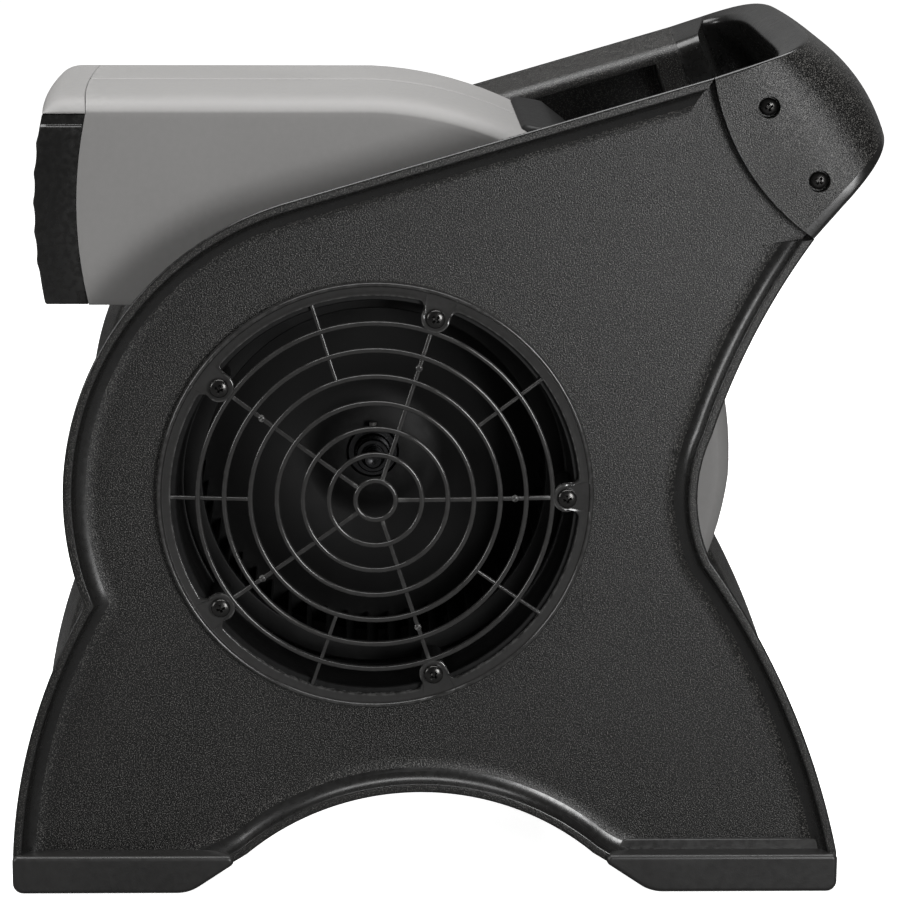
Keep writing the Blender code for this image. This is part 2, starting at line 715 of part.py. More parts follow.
# ---------------------------------------------------------------- wheel, motor and electrics
def build_wheel():
    """Double-inlet squirrel-cage wheel: two end rings, a centre disc and swept blades."""
    radii = (HUB_RADIUS, WHEEL_BAND, WHEEL_RADIUS)
    slots = WHEEL_BLADES * 2

    def place(i, j, k):
        pair, part = divmod(j, 2)
        sweep = WHEEL_SWEEP if i == 2 else 0
        angle = math.tau * pair / WHEEL_BLADES + part * math.radians(1.6) + sweep
        y, z = polar(radii[i], angle)
        return (WHEEL_LAYERS[k], y, z)

    def filled(i, j, k):
        if i == 0:
            return k == 2
        return k in (0, 2, 4) or j % 2 == 0

    lattice("blower_wheel", (2, slots, len(WHEEL_LAYERS) - 1), place, filled, BLACK, wheel, wrap=True)
    hub = [
        (0.0095, SHAFT_RADIUS + GAP),
        (0.0045, SHAFT_RADIUS + GAP),
        (0.0045, HUB_RADIUS - GAP),
        (0.0240, HUB_RADIUS - GAP),
        (0.0240, SHAFT_RADIUS + GAP),
    ]
    lathe("wheel_hub", hub, 20, OXIDE, wheel)
    shaft = [(-0.060, 0), (-0.060, SHAFT_RADIUS), (0.032, SHAFT_RADIUS)]
    shaft += [(0.034, SHAFT_RADIUS - 0.001), (0.034, 0)]
    lathe("motor_shaft", shaft, 16, OXIDE, wheel)
    place = Matrix.Translation((0.017, 0, HUB_RADIUS - GAP + 0.0001))
    ring = [(-0.0001, 0), (-0.0001, 0.003), (0.004, 0.003), (0.004, 0)]
    turned = place @ Vector((0, 0, 1)).to_track_quat("X", "Y").to_matrix().to_4x4()
    lathe("hub_set_screw", [(a + 0.0006, r) for a, r in ring], 8, OXIDE, wheel, turned)


def build_motor():
    """The motor hangs inside the wheel's right half, on a three-armed bracket."""
    back, front = MOTOR_SPAN
    bore = SHAFT_RADIUS + GAP
    can = [
        (back, 0),
        (back, MOTOR_RADIUS - 0.004),
        (back + 0.004, MOTOR_RADIUS),
        (front - 0.012, MOTOR_RADIUS),
        (front - 0.008, MOTOR_RADIUS - 0.004),
        (front - 0.006, 0.024),
        (front, 0.020),
        (front, bore),
        (-0.062, bore),
        (-0.062, 0),
    ]
    lathe("motor", can, 28, MOTOR, head)
    arms = 3
    radii = (0.014, 0.052, 0.1140, 0.1262)
    seats = (back - 0.0046, back - 0.0046, HEAD_WALL - HEAD_HALF + GAP, HEAD_WALL - HEAD_HALF + GAP)

    def place(i, j, k):
        arm, part = divmod(j, 4)
        half = math.asin(min(0.010 / radii[i], 0.5))
        open_turn = (math.tau / arms - 2 * half) / 3
        offset = (-half, half, half + open_turn, half + 2 * open_turn)[part]
        y, z = polar(radii[i], arm * math.tau / arms + math.radians(90) + offset)
        return (seats[i] + 0.004 * k, y, z)

    def filled(i, j, k):
        return i != 1 or j % 4 == 0

    lattice("motor_bracket", (3, arms * 4, 1), place, filled, STEEL, head, wrap=True)


def build_electrics(knob_at, button_at, outward, downhill):
    """Wiring box behind the control panel, with the switch, the breaker and the capacitor."""
    centre = panel_frame()[0]
    across = (-0.056, -0.053, 0.053, 0.056)
    along = (-0.030, -0.027, 0.027, 0.030)
    depths = (-0.052, -0.049, -0.018)

    def place(i, j, k):
        return centre + Vector((across[i], 0, 0)) + downhill * along[j] + outward * depths[k]

    def filled(i, j, k):
        return k == 0 or i != 1 or j != 1

    lattice("wiring_box", (3, 3, 2), place, filled, BLACK, head)
    switch_at = Vector((knob_at.x, *centre.yz)) + downhill * 0.004
    face_block("rotary_switch", switch_at, (0.011, 0.012), (-0.046, -0.022), head)
    breaker_at = Vector((button_at.x, *centre.yz)) + downhill * 0.014
    face_block("circuit_breaker", breaker_at, (0.008, 0.010), (-0.046, -0.022), head)
    run = centre + outward * -0.036 - downhill * 0.012
    start, end = run + Vector((-0.022, 0, 0)), run + Vector((0.045, 0, 0))
    rod("run_capacitor", start, end, 0.010, 16, MOTOR, head)
    gland = [(GAP, 0.0042), (GAP, 0.0085), (0.003, 0.0085), (0.011, 0.0062), (0.011, 0.0042)]
    seat = centre + Vector((-0.058, 0, 0)) + downhill * 0.034
    place = Matrix.Translation(seat) @ outward.to_track_quat("X", "Z").to_matrix().to_4x4()
    lathe("cord_gland", gland, 16, RUBBER, head, place)


def build_head():
    build_shell("housing_left", 1)
    build_shell("housing_right", -1)
    build_collar("inlet_collar_left", 1)
    build_collar("inlet_collar_right", -1)
    build_visor()
    build_bezel()
    build_grille("intake_grille_left", 1)
    build_grille("intake_grille_right", -1)
    knob_at, button_at, outward, downhill = build_panel()
    build_controls(knob_at, button_at, outward)
    build_motor()
    build_electrics(knob_at, button_at, outward, downhill)


build_stand()
build_head()
build_wheel()
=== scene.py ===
"""Looks of the pivoting air mover: black pebbled frames and handle, a grey scroll head, round grilles.

Every shape is drawn from the tilt axis: x outwards from the middle of the machine, y to the rear
and z up, in metres. A piece's points are moved to the axis when its mesh is made.
"""

import math

import bmesh
import bpy
import numpy as np
from mathutils import Matrix, Vector


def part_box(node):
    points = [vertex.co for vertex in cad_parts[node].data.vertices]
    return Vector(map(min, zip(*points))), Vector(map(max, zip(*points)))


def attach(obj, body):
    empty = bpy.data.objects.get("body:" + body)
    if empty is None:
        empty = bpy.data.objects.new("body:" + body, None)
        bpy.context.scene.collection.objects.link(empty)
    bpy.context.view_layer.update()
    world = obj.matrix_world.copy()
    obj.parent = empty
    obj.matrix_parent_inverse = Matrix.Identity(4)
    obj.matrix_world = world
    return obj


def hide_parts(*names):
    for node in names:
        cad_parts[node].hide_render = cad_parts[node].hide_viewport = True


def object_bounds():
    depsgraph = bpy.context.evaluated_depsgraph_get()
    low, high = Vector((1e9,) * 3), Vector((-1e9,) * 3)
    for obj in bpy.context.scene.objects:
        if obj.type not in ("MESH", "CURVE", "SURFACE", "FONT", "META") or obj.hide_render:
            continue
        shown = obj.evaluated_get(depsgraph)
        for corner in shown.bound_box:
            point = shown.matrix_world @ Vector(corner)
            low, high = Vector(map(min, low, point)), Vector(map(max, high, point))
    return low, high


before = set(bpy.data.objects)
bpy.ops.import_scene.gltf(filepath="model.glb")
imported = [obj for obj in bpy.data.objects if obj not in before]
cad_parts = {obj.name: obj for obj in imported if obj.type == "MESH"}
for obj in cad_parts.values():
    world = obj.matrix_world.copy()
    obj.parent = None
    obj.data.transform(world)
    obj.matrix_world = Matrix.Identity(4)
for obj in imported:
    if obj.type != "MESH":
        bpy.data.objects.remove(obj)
CAD_BOX = [list(corner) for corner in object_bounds()]


def middle(node):
    low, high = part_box(node)
    return (low + high) / 2


# ---------------------------------------------------------------- dimensions
AXIS = Vector((0, *middle("motor_shaft").yz))
FLOOR = CAD_BOX[0][2] - AXIS.z
FOOT_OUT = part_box("side_frame_left")[1].x
FRAME_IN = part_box("side_frame_left")[0].x
FRAME_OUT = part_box("carry_handle")[1].x
HEAD_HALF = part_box("housing_left")[1].x
OUTLET_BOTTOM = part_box("outlet_grille")[0].z - AXIS.z
COLLAR_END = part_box("inlet_collar_left")[1].x
CLEAR = 0.0004  # clearance between neighbouring pieces
SEAM_GAP = 0.0001

WEB_OUT = 0.130
WEB_IN = 0.126
BULGE_RADIUS = 0.1845
TOP_SLOPE = math.radians(16.3)
NECK_ANGLE = math.radians(200.5)
FRAME_FOOT = (-0.2182, 0.2797)
REAR_NECK = (0.1993, -0.0380)
REAR_BEND = (0.1980, 0.0380)
SEAM_TOP = (0.1948, 0.2497)
SEAM_MIDDLE = (0.2114, 0.2031)
SEAM_BOTTOM = (0.2554, 0.1556)
FOOT_TOP = FLOOR + 0.024
FOOT_BOTTOM = FLOOR + 0.0003
FOOT_INNER = (-0.077, 0.132)
FOOT_SLANT = 0.035
ARCH_APEX = (0.030, -0.1813)
HOLE_RADIUS = 0.1240
TIE_PLACES = ((-0.185, -0.200), (0.238, -0.200))

GRIP_TOP = (0.2545, 0.2695)
GRIP_MIDDLE = (0.2860, 0.2440)
GRIP_BOTTOM = (0.3025, 0.2110)
HANDLE_WALL = 0.009
HANDLE_BEND = 5.0
HANDLE_REACH_IN = 0.66
HANDLE_SCREWS = ((0.2268, 0.2325), (0.2571, 0.1895))
RECESS_RADIUS = 0.0065
RECESS_DEPTH = 0.0055

CROWN = 0.0088
CROWN_POWER = 16  # flat on top, with a tight shoulder at each side
HEAD_WALL = 0.003
OUTLET_TOP = 0.2233
SHELL_FRONT = -0.1703
SHELL_BOW = 0.0066
GRILLE_FRONT = -0.1963
GRILLE_BOW = 0.0053
VISOR_FRONT = -0.1960
VISOR_BOW = 0.003
OUTLET_BARS = 5
OUTLET_PITCH = 0.0177
SCROLL_RADII = (0.130, 0.168, 0.207, OUTLET_TOP)
TONGUE_ANGLE = math.radians(142)

RINGS = (0.0118, 0.0274, 0.0428, 0.0582, 0.0739, 0.0893, 0.1050)
FLANGE_IN = 0.1212
FLANGE_OUT = 0.1298
GRILLE_THICK = 0.0040
GRILLE_DOME = 0.008
SCREW_CIRCLE = 0.1135
SCREWS = 5
LOBE_RADIUS = 0.0086
NUB_CIRCLE = 0.0826
INLET_RADIUS = 0.1184

WHEEL_RADIUS = 0.1160
WHEEL_BAND = 0.1040
WHEEL_BLADES = 51
WHEEL_ENDS = (-0.064, 0.080)
WHEEL_DISC = (0.0052, 0.0088)

PANEL_ANGLES = (math.radians(36), math.radians(67))
PANEL_HALF = 0.072
PANEL_RISE = 0.006


# ---------------------------------------------------------------- plane geometry
def polar(radius, angle):
    return (radius * math.cos(angle), radius * math.sin(angle))


def ellipse(centre, radii, start, end, steps):
    """Points on an ellipse's arc between two angles, in degrees."""
    angles = [math.radians(start + (end - start) * i / steps) for i in range(steps + 1)]
    return [
        (centre[0] + radii[0] * math.cos(a), centre[1] + radii[1] * math.sin(a)) for a in angles
    ]


def arc_about(centre, radius, start, end, steps):
    return ellipse(centre, (radius, radius), math.degrees(start), math.degrees(end), steps)


def arc_through(first, second, third, steps):
    """Points on the arc from first to third that passes through second."""
    (ax, ay), (bx, by), (cx, cy) = first, second, third
    area = 2 * (ax * (by - cy) + bx * (cy - ay) + cx * (ay - by))
    a2, b2, c2 = ax * ax + ay * ay, bx * bx + by * by, cx * cx + cy * cy
    centre = (
        (a2 * (by - cy) + b2 * (cy - ay) + c2 * (ay - by)) / area,
        (a2 * (cx - bx) + b2 * (ax - cx) + c2 * (bx - ax)) / area,
    )
    radius = math.dist(centre, first)
    start = math.atan2(ay - centre[1], ax - centre[0])
    sweep = math.atan2(cy - centre[1], cx - centre[0]) - start
    turn = math.tau if area > 0 else -math.tau
    while sweep * turn < 0:
        sweep += turn
    while abs(sweep) > math.tau:
        sweep -= turn
    return arc_about(centre, radius, start, start + sweep, steps)


def rectangle(half_width, half_height):
    """Corners of a rectangle about the middle, counter-clockwise."""
    w, h = half_width, half_height
    return [(-w, -h), (w, -h), (w, h), (-w, h)]


def rounded(corners, radii, steps=8):
    """A polygon with each corner turned into an arc of its own radius."""
    outline = []
    for i, (corner, radius) in enumerate(zip(corners, radii)):
        here = Vector(corner)
        before = (Vector(corners[i - 1]) - here).normalized()
        after = (Vector(corners[(i + 1) % len(corners)]) - here).normalized()
        half = before.angle(after) / 2
        reach = radius / math.tan(half)
        centre = here + (before + after).normalized() * radius / math.sin(half)
        start, end = here + before * reach - centre, here + after * reach - centre
        turn = start.angle_signed(end)
        for k in range(steps + 1):
            angle = math.atan2(start.y, start.x) - turn * k / steps
            outline.append(tuple(centre + Vector(polar(radius, angle))))
    return outline


def shrunk(outline, distance):
    """The counter-clockwise outline moved inwards.

    Points that would fold over pile up at the crossing.
    """
    points = np.array(outline)
    if distance == 0:
        return outline
    before = points - np.roll(points, 1, axis=0)
    after = np.roll(points, -1, axis=0) - points
    before /= np.linalg.norm(before, axis=1)[:, None]
    unit = after / np.linalg.norm(after, axis=1)[:, None]
    both = before + unit
    normal = np.stack((-both[:, 1], both[:, 0]), axis=1)
    normal /= np.linalg.norm(normal, axis=1)[:, None]
    spread = np.maximum(0.5, normal[:, 1] * before[:, 0] - normal[:, 0] * before[:, 1])
    moved = points + normal * (distance / spread)[:, None]
    offset = moved[:, None, :] - points[None, :, :]
    share = np.clip((offset * after).sum(axis=2) / (after * after).sum(axis=1), 0, 1)
    gap = np.linalg.norm(offset - share[:, :, None] * after, axis=2).min(axis=1)
    good = gap > abs(distance) * 0.985
    count = len(points)
    settled = moved.copy()
    for i in range(count):
        if good[i]:
            continue
        a, b = i, i
        while not good[a]:
            a = (a - 1) % count
        while not good[b]:
            b = (b + 1) % count
        settled[i] = crossing(moved[a - 1], moved[a], moved[(b + 1) % count], moved[b])
    return [tuple(p) for p in settled]


def crossing(p, q, r, s):
    """Where line p-q meets line r-s, or halfway from q to s if they are nearly parallel."""
    along, other = q - p, s - r
    area = along[0] * other[1] - along[1] * other[0]
    if abs(area) < 0.05 * np.linalg.norm(along) * np.linalg.norm(other):
        return (q + s) / 2
    share = ((r - p)[0] * other[1] - (r - p)[1] * other[0]) / area
    return p + along * share


# ---------------------------------------------------------------- meshes
class Shape:
    """Gathers closed skins, then turns them into one piece."""

    def __init__(self):
        self.mesh = bmesh.new()

    def points(self, row):
        return [self.mesh.verts.new(tuple(p)) for p in row]

    def face(self, corners, finish=0):
        corners = list(dict.fromkeys(corners))
        if len(corners) > 2:
            self.mesh.faces.new(corners).material_index = finish

    def loft(self, rows, finishes=0, caps=True, closed=True, ring=False):
        """A skin through rows of points. ring joins the last row to the first."""
        rows = [self.points(row) for row in rows]
        pairs = list(zip(rows, rows[1:])) + ([(rows[-1], rows[0])] if ring else [])
        for k, (low, high) in enumerate(pairs):
            finish = finishes if isinstance(finishes, int) else finishes[k]
            for i in range(len(low) if closed else len(low) - 1):
                j = (i + 1) % len(low)
                self.face((low[i], low[j], high[j], high[i]), finish)
        if caps and not ring:
            self.face(rows[0], finishes if isinstance(finishes, int) else finishes[0])
            self.face(rows[-1], finishes if isinstance(finishes, int) else finishes[-1])
        return rows

    def lathe(self, profile, segments, place=Matrix.Identity(4), finish=0, open_ends=False):
        """Turns (along, radius) pairs about local X. The profile closes on itself or on the axis."""
        rings = []
        for along, radius in profile:
            turns = 1 if radius == 0 else segments
            angles = [math.tau * i / turns for i in range(turns)]
            rings.append(self.points(place @ Vector((along, *polar(radius, a))) for a in angles))
        solid = profile[0][1] == 0 or open_ends
        for first, second in zip(rings, rings[1:] + ([] if solid else rings[:1])):
            for i in range(segments):
                j = (i + 1) % segments
                one, two = len(first), len(second)
                self.face((first[i % one], first[j % one], second[j % two], second[i % two]), finish)

    def fill(self, test, finish):
        """Fills the open edges whose ends pass the test, as one flat face with holes."""
        edges = [e for e in self.mesh.edges if e.is_boundary and all(test(v.co) for v in e.verts)]
        made = bmesh.ops.triangle_fill(self.mesh, edges=edges, use_beauty=True)
        for thing in made["geom"]:
            if isinstance(thing, bmesh.types.BMFace):
                thing.material_index = finish

    def weld(self, distance=1e-6):
        bmesh.ops.remove_doubles(self.mesh, verts=self.mesh.verts, dist=distance)

    def build(self, name, materials, body=None, node=None, sharp=32):
        """Makes the object at the tilt axis, hangs it on the body it rides on, and hides the part it stands
        in for.
        """
        bmesh.ops.recalc_face_normals(self.mesh, faces=self.mesh.faces)
        for face in self.mesh.faces:
            face.smooth = True
        mesh = bpy.data.meshes.new(name)
        self.mesh.to_mesh(mesh)
        self.mesh.free()
        mesh.transform(Matrix.Translation(AXIS))
        mesh.set_sharp_from_angle(angle=math.radians(sharp))
        for material in materials:
            mesh.materials.append(material)
        thing = bpy.data.objects.new(name, mesh)
        bpy.context.scene.collection.objects.link(thing)
        if body:
            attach(thing, body)
        if node:
            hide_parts(*([node] if isinstance(node, str) else node))
        return thing


def carve(thing, tool, sharp):
    """Cuts the tool out of thing for good, and removes it."""
    modifier = thing.modifiers.new("cut", "BOOLEAN")
    modifier.operation = "DIFFERENCE"
    modifier.solver = "EXACT"
    modifier.object = tool
    bpy.context.view_layer.update()
    solid = thing.evaluated_get(bpy.context.evaluated_depsgraph_get())
    mesh = bpy.data.meshes.new_from_object(solid)
    thing.modifiers.clear()
    thing.data = mesh
    mesh.set_sharp_from_angle(angle=math.radians(sharp))
    bpy.data.objects.remove(tool, do_unlink=True)


def facing(origin, outward):
    """A placement whose local X points outward from origin."""
    turn = Vector(outward).to_track_quat("X", "Z").to_matrix().to_4x4()
    return Matrix.Translation(Vector(origin)) @ turn


# ---------------------------------------------------------------- materials
def node(tree, kind, inputs=None, **settings):
    made = tree.nodes.new(kind)
    for key, value in settings.items():
        setattr(made, key, value)
    for key, value in (inputs or {}).items():
        if isinstance(value, bpy.types.NodeSocket):
            tree.links.new(value, made.inputs[key])
        else:
            made.inputs[key].default_value = value
    return made


def ranged(tree, value, low, high, to_low, to_high):
    """value's range low..high mapped to to_low..to_high, and held there beyond it."""
    inputs = {0: value, 1: low, 2: high, 3: to_low, 4: to_high}
    return node(tree, "ShaderNodeMapRange", inputs, clamp=True).outputs[0]


def finish(name, colour, roughness, grain, mottle=0.12, wear=0.0, metallic=0.0, scratches=0.0,
           worn=(0.2, 0.2, 0.2), specular=0.5, uneven=0.06, crest_glints=None):
    """A moulded or metal surface: mottled colour, uneven gloss, grain as bump, and worn edges.

    grain is (cells per metre, height in metres, strength). crest_glints is (cells per metre, colour):
    the crests of the grain are painted lighter in that colour, a painted highlight that stands in for light
    glinting off the grain.
    """
    material = bpy.data.materials.new(name)
    material.use_nodes = True
    tree = material.node_tree
    shader = tree.nodes["Principled BSDF"]
    where = node(tree, "ShaderNodeTexCoord").outputs["Object"]
    broad = node(tree, "ShaderNodeTexNoise", {"Vector": where, "Scale": 11.0, "Detail": 4.0})
    fine = node(tree, "ShaderNodeTexNoise", {"Vector": where, "Scale": 260.0, "Detail": 3.0})
    shade = node(
        tree, "ShaderNodeMath", {0: broad.outputs[0], 1: fine.outputs[0]}, operation="ADD"
    ).outputs[0]
    dark = [c * (1 - mottle) for c in colour] + [1]
    light = [min(1, c * (1 + mottle)) for c in colour] + [1]
    share = ranged(tree, shade, 0.7, 1.3, 0, 1)
    tint = node(tree, "ShaderNodeMix", {0: share, 6: dark, 7: light}, data_type="RGBA").outputs[2]
    gloss = ranged(tree, shade, 0.7, 1.3, roughness - uneven, roughness + uneven)
    # Painted highlight: the grain's crests get a lighter colour in place of light glinting off them.
    if crest_glints:
        glint_mask = node(tree, "ShaderNodeTexNoise", {"Vector": where, "Scale": crest_glints[0], "Detail": 1.0})
        glint_mask = ranged(tree, glint_mask.outputs[0], 0.54, 0.66, 0, 1)
        inputs = {0: glint_mask, 6: tint, 7: (*crest_glints[1], 1)}
        tint = node(tree, "ShaderNodeMix", inputs, data_type="RGBA").outputs[2]
    if wear:
        edge = node(tree, "ShaderNodeNewGeometry").outputs["Pointiness"]
        edge = ranged(tree, edge, 0.52, 0.60, 0, wear)
        broken = ranged(tree, fine.outputs[0], 0.40, 0.62, 0, 1)
        edge = node(tree, "ShaderNodeMath", {0: edge, 1: broken}, operation="MULTIPLY").outputs[0]
        inputs = {0: edge, 6: tint, 7: (*worn, 1)}
        tint = node(tree, "ShaderNodeMix", inputs, data_type="RGBA").outputs[2]
    if scratches:
        stretch = node(tree, "ShaderNodeMapping", {"Vector": where, "Scale": (900, 25, 60)})
        marks = node(tree, "ShaderNodeTexNoise", {"Vector": stretch.outputs[0], "Scale": 1.0})
        marks = ranged(tree, marks.outputs[0], 0.62, 0.72, 0, scratches)
        gloss = node(tree, "ShaderNodeMath", {0: gloss, 1: marks}, operation="ADD").outputs[0]
    tree.links.new(tint, shader.inputs["Base Color"])
    tree.links.new(gloss, shader.inputs["Roughness"])
    shader.inputs["Metallic"].default_value = metallic
    shader.inputs["Specular IOR Level"].default_value = specular
    scale, height, strength = grain
    relief = node(tree, "ShaderNodeTexNoise", {"Vector": where, "Scale": scale, "Detail": 3.0})
    inputs = {"Height": relief.outputs[0], "Strength": strength, "Distance": height}
    bump = node(tree, "ShaderNodeBump", inputs)
    tree.links.new(bump.outputs[0], shader.inputs["Normal"])
    return material


# The pebbled black's lighter crest colour is a painted highlight on the grain's crests.
PEBBLE = finish(
    "pebbled_black", (0.0025, 0.0024, 0.0022), 0.36,
    (1200.0, 0.0003, 1.0), wear=0.25, worn=(0.05, 0.05, 0.048), specular=0.40,
    crest_glints=(1400.0, (0.095, 0.092, 0.087)),
)
GLOSS = finish(
    "grille_black", (0.026, 0.0255, 0.025), 0.16,
    (900.0, 0.00003, 0.3), wear=0.8, worn=(0.16, 0.16, 0.157), uneven=0.04,
)
SATIN = finish(
    "satin_black", (0.010, 0.0098, 0.0095), 0.27,
    (900.0, 0.00004, 0.35), wear=0.3, worn=(0.08, 0.08, 0.078), scratches=0.10,
)
FOOT = finish(
    "foot_black", (0.017, 0.0166, 0.0162), 0.40,
    (1300.0, 0.00010, 0.45), wear=0.35, worn=(0.09, 0.09, 0.088), scratches=0.12,
)
GREY = finish(
    "grey_shell", (0.225, 0.221, 0.217), 0.52,
    (1400.0, 0.00005, 0.30), mottle=0.03, wear=0.15, worn=(0.33, 0.33, 0.32),
    scratches=0.08, specular=0.25,
)
DARK = finish(
    "duct_black", (0.004, 0.004, 0.004), 0.50,
    (700.0, 0.00008, 0.4), wear=0.2, worn=(0.02, 0.02, 0.02), specular=0.25,
)
WHEEL = finish(
    "wheel_black", (0.003, 0.003, 0.003), 0.50,
    (600.0, 0.00006, 0.4), wear=0.3, worn=(0.02, 0.02, 0.02), specular=0.20,
)
OXIDE = finish(
    "black_oxide", (0.045, 0.044, 0.043), 0.24,
    (2200.0, 0.00003, 0.4), metallic=0.9, wear=0.6, worn=(0.35, 0.34, 0.33),
)
BLUED = finish(
    "blued_steel", (0.050, 0.050, 0.052), 0.26,
    (1600.0, 0.00003, 0.4), metallic=1.0, mottle=0.08, scratches=0.15,
)
STEEL = finish(
    "zinc_steel", (0.52, 0.52, 0.53), 0.30,
    (1600.0, 0.00003, 0.4), metallic=1.0, mottle=0.08, scratches=0.15,
)
PAINT = finish(
    "motor_paint", (0.045, 0.046, 0.050), 0.38,
    (500.0, 0.00012, 0.5), wear=0.4, worn=(0.20, 0.20, 0.20),
)
SOCKET = finish(
    "socket_plastic", (0.040, 0.040, 0.043), 0.28,
    (900.0, 0.00003, 0.3), wear=0.3, worn=(0.10, 0.10, 0.10),
)
RUBBER = finish(
    "rubber", (0.014, 0.014, 0.014), 0.72,
    (1200.0, 0.00012, 0.6), mottle=0.2, uneven=0.1,
)
RED = finish(
    "button_red", (0.42, 0.018, 0.015), 0.30,
    (900.0, 0.00004, 0.3), wear=0.2, worn=(0.55, 0.10, 0.08),
)
MARK = finish(
    "dial_white", (0.62, 0.62, 0.60), 0.45,
    (1500.0, 0.00003, 0.3), mottle=0.05,
)


# ---------------------------------------------------------------- side frames
def seam_line(offset=0.0, steps=30):
    """The curve where frame and handle meet, from its lower to its upper end."""
    across = Vector((SEAM_MIDDLE[0] - 0.26, SEAM_MIDDLE[1] - 0.24)).normalized() * offset
    ends = [(y + across.x, z + across.y) for y, z in (SEAM_BOTTOM, SEAM_MIDDLE, SEAM_TOP)]
    return arc_through(*ends, steps)


def trimmed_seam(trim, count):
    """Even points along the seam, short of both ends by trim."""
    line = np.array(seam_line(SEAM_GAP, 60))
    along = np.concatenate(([0], np.cumsum(np.linalg.norm(np.diff(line, axis=0), axis=1))))
    where = np.linspace(trim, along[-1] - trim, count)
    ys, zs = (np.interp(where, along, line[:, k]) for k in (0, 1))
    return list(zip(ys.tolist(), zs.tolist()))


def frame_outline():
    """The side frame, counter-clockwise from the front foot, and which of its points are on the seam."""
    front, rear = FRAME_FOOT
    sole = FLOOR + 0.0030
    inner_front, inner_rear = FOOT_INNER
    tangent = math.radians(90) + TOP_SLOPE
    neck = polar(BULGE_RADIUS, NECK_ANGLE)
    outline = [(front, sole), (inner_front - 0.066, sole), (inner_front - 0.046, sole)]
    outline.append((inner_front - 0.008, FOOT_TOP - 0.005))
    outline += arc_through((inner_front, FOOT_TOP), ARCH_APEX, (inner_rear, FOOT_TOP), 64)
    outline += [(inner_rear + 0.008, FOOT_TOP - 0.005), (inner_rear + 0.046, sole)]
    outline += [(inner_rear + 0.066, sole), (rear, sole)]
    outline += arc_through((rear, FOOT_TOP), (0.2479, -0.1230), REAR_NECK, 48)
    outline += arc_through(REAR_NECK, (0.1905, -0.0010), REAR_BEND, 24)[1:]
    outline += arc_through(REAR_BEND, (0.2205, 0.0960), SEAM_BOTTOM, 34)[1:-1]
    plain = len(outline)
    outline += seam_line(SEAM_GAP)
    seam = len(outline)
    outline += arc_about((0, 0), BULGE_RADIUS, tangent, NECK_ANGLE, 80)
    outline += arc_through(neck, (-0.2034, -0.1360), (front, FOOT_TOP), 44)[1:]
    return outline, range(plain, seam)


def frame_profile():
    """Steps from the back of the web, over the rim, to the web's front.

    Each is (distance in from the outline, x, finish, whether it is on the inner flange).
    """
    back = [(0.0215, WEB_IN), (0.0172, WEB_IN), (0.0164, WEB_IN - 0.0006)]
    back += [(0.0160, WEB_IN - 0.002), (0.0160, FRAME_IN + 0.0008), (0.0154, FRAME_IN)]
    flange = ellipse((0.0140, FRAME_IN + 0.0100), (0.0080, 0.0100), 270, 195, 9)
    flange += [(0.0030, FRAME_OUT - 0.0160), (0.0004, FRAME_OUT - 0.0040)]
    outer_edge = ellipse((0.0013, FRAME_OUT - 0.0013), (0.0013, 0.0013), 180, 90, 4)
    inner_edge = ellipse((0.0046, FRAME_OUT - 0.0009), (0.0009, 0.0009), 70, 0, 3)
    depth = FRAME_OUT - 0.0009 - WEB_OUT
    cove = ellipse((0.0200, FRAME_OUT - 0.0009), (0.0145, depth), 187, 270, 12)
    steps = [(d, x, 0, False) for d, x in back]
    steps += [(d, x, 0, True) for d, x in flange]
    steps += [(d, x, 1, False) for d, x in outer_edge]
    steps += [(0.0046, FRAME_OUT, 0, False)]
    steps += [(d, x, 1, False) for d, x in inner_edge + cove[:9]]
    steps += [(d, x, 0, False) for d, x in cove[9:] + [(0.0214, WEB_OUT)]]
    return steps


def build_frame(name, side):
    """One moulded frame: a pebbled web in a rim, with a smooth cove between them, and two feet.

    Where the frame meets the handle its rim is lowered to the web, and the flange is cut square.
    """
    outline, seam = frame_outline()
    lowered = set(seam[1:-1])
    shape = Shape()
    rows, finishes = [], []
    for distance, x, material, on_flange in frame_profile():
        line = shrunk(outline, distance)
        if on_flange:
            for i, point in zip(seam, trimmed_seam(distance, len(seam))):
                line[i] = point
        rows.append([
            (side * (min(x, WEB_OUT) if i in lowered else x), y, z) for i, (y, z) in enumerate(line)
        ])
        finishes.append(material)
    rows = shape.loft(rows, finishes[1:], caps=False)
    beside = {row[i] for row in rows for i in lowered if abs(row[i].co.x) > WEB_OUT - 1e-5}
    for face in shape.mesh.faces:
        if beside.issuperset(face.verts):
            face.material_index = 0
    shape.weld()
    edge = [(WEB_OUT, HOLE_RADIUS + 0.002), (WEB_OUT, HOLE_RADIUS + 0.0006)]
    edge += [(WEB_OUT - 0.0006, HOLE_RADIUS), (WEB_IN, HOLE_RADIUS), (WEB_IN, HOLE_RADIUS + 0.002)]
    shape.lathe([(side * x, radius) for x, radius in edge], 128, open_ends=True)
    for level in (WEB_OUT, WEB_IN):
        shape.fill(lambda co, x=side * level: abs(co.x - x) < 1e-5, 0)
    for place in ("front", "rear"):
        build_foot(shape, side, place == "front")
    lip = [seam_line(offset)[3:-3] for offset in (0.010, -0.006)]
    loops = [(near, near, far, far) for near, far in zip(*lip)]
    xs = [side * x for x in (FRAME_IN + 0.012, FRAME_IN + 0.022, FRAME_IN + 0.022, FRAME_IN + 0.012)]
    shape.loft([[(x, *point) for x, point in zip(xs, loop)] for loop in loops], 1)
    shape.build(name, [PEBBLE, SATIN, FOOT], "stand", name, sharp=28)


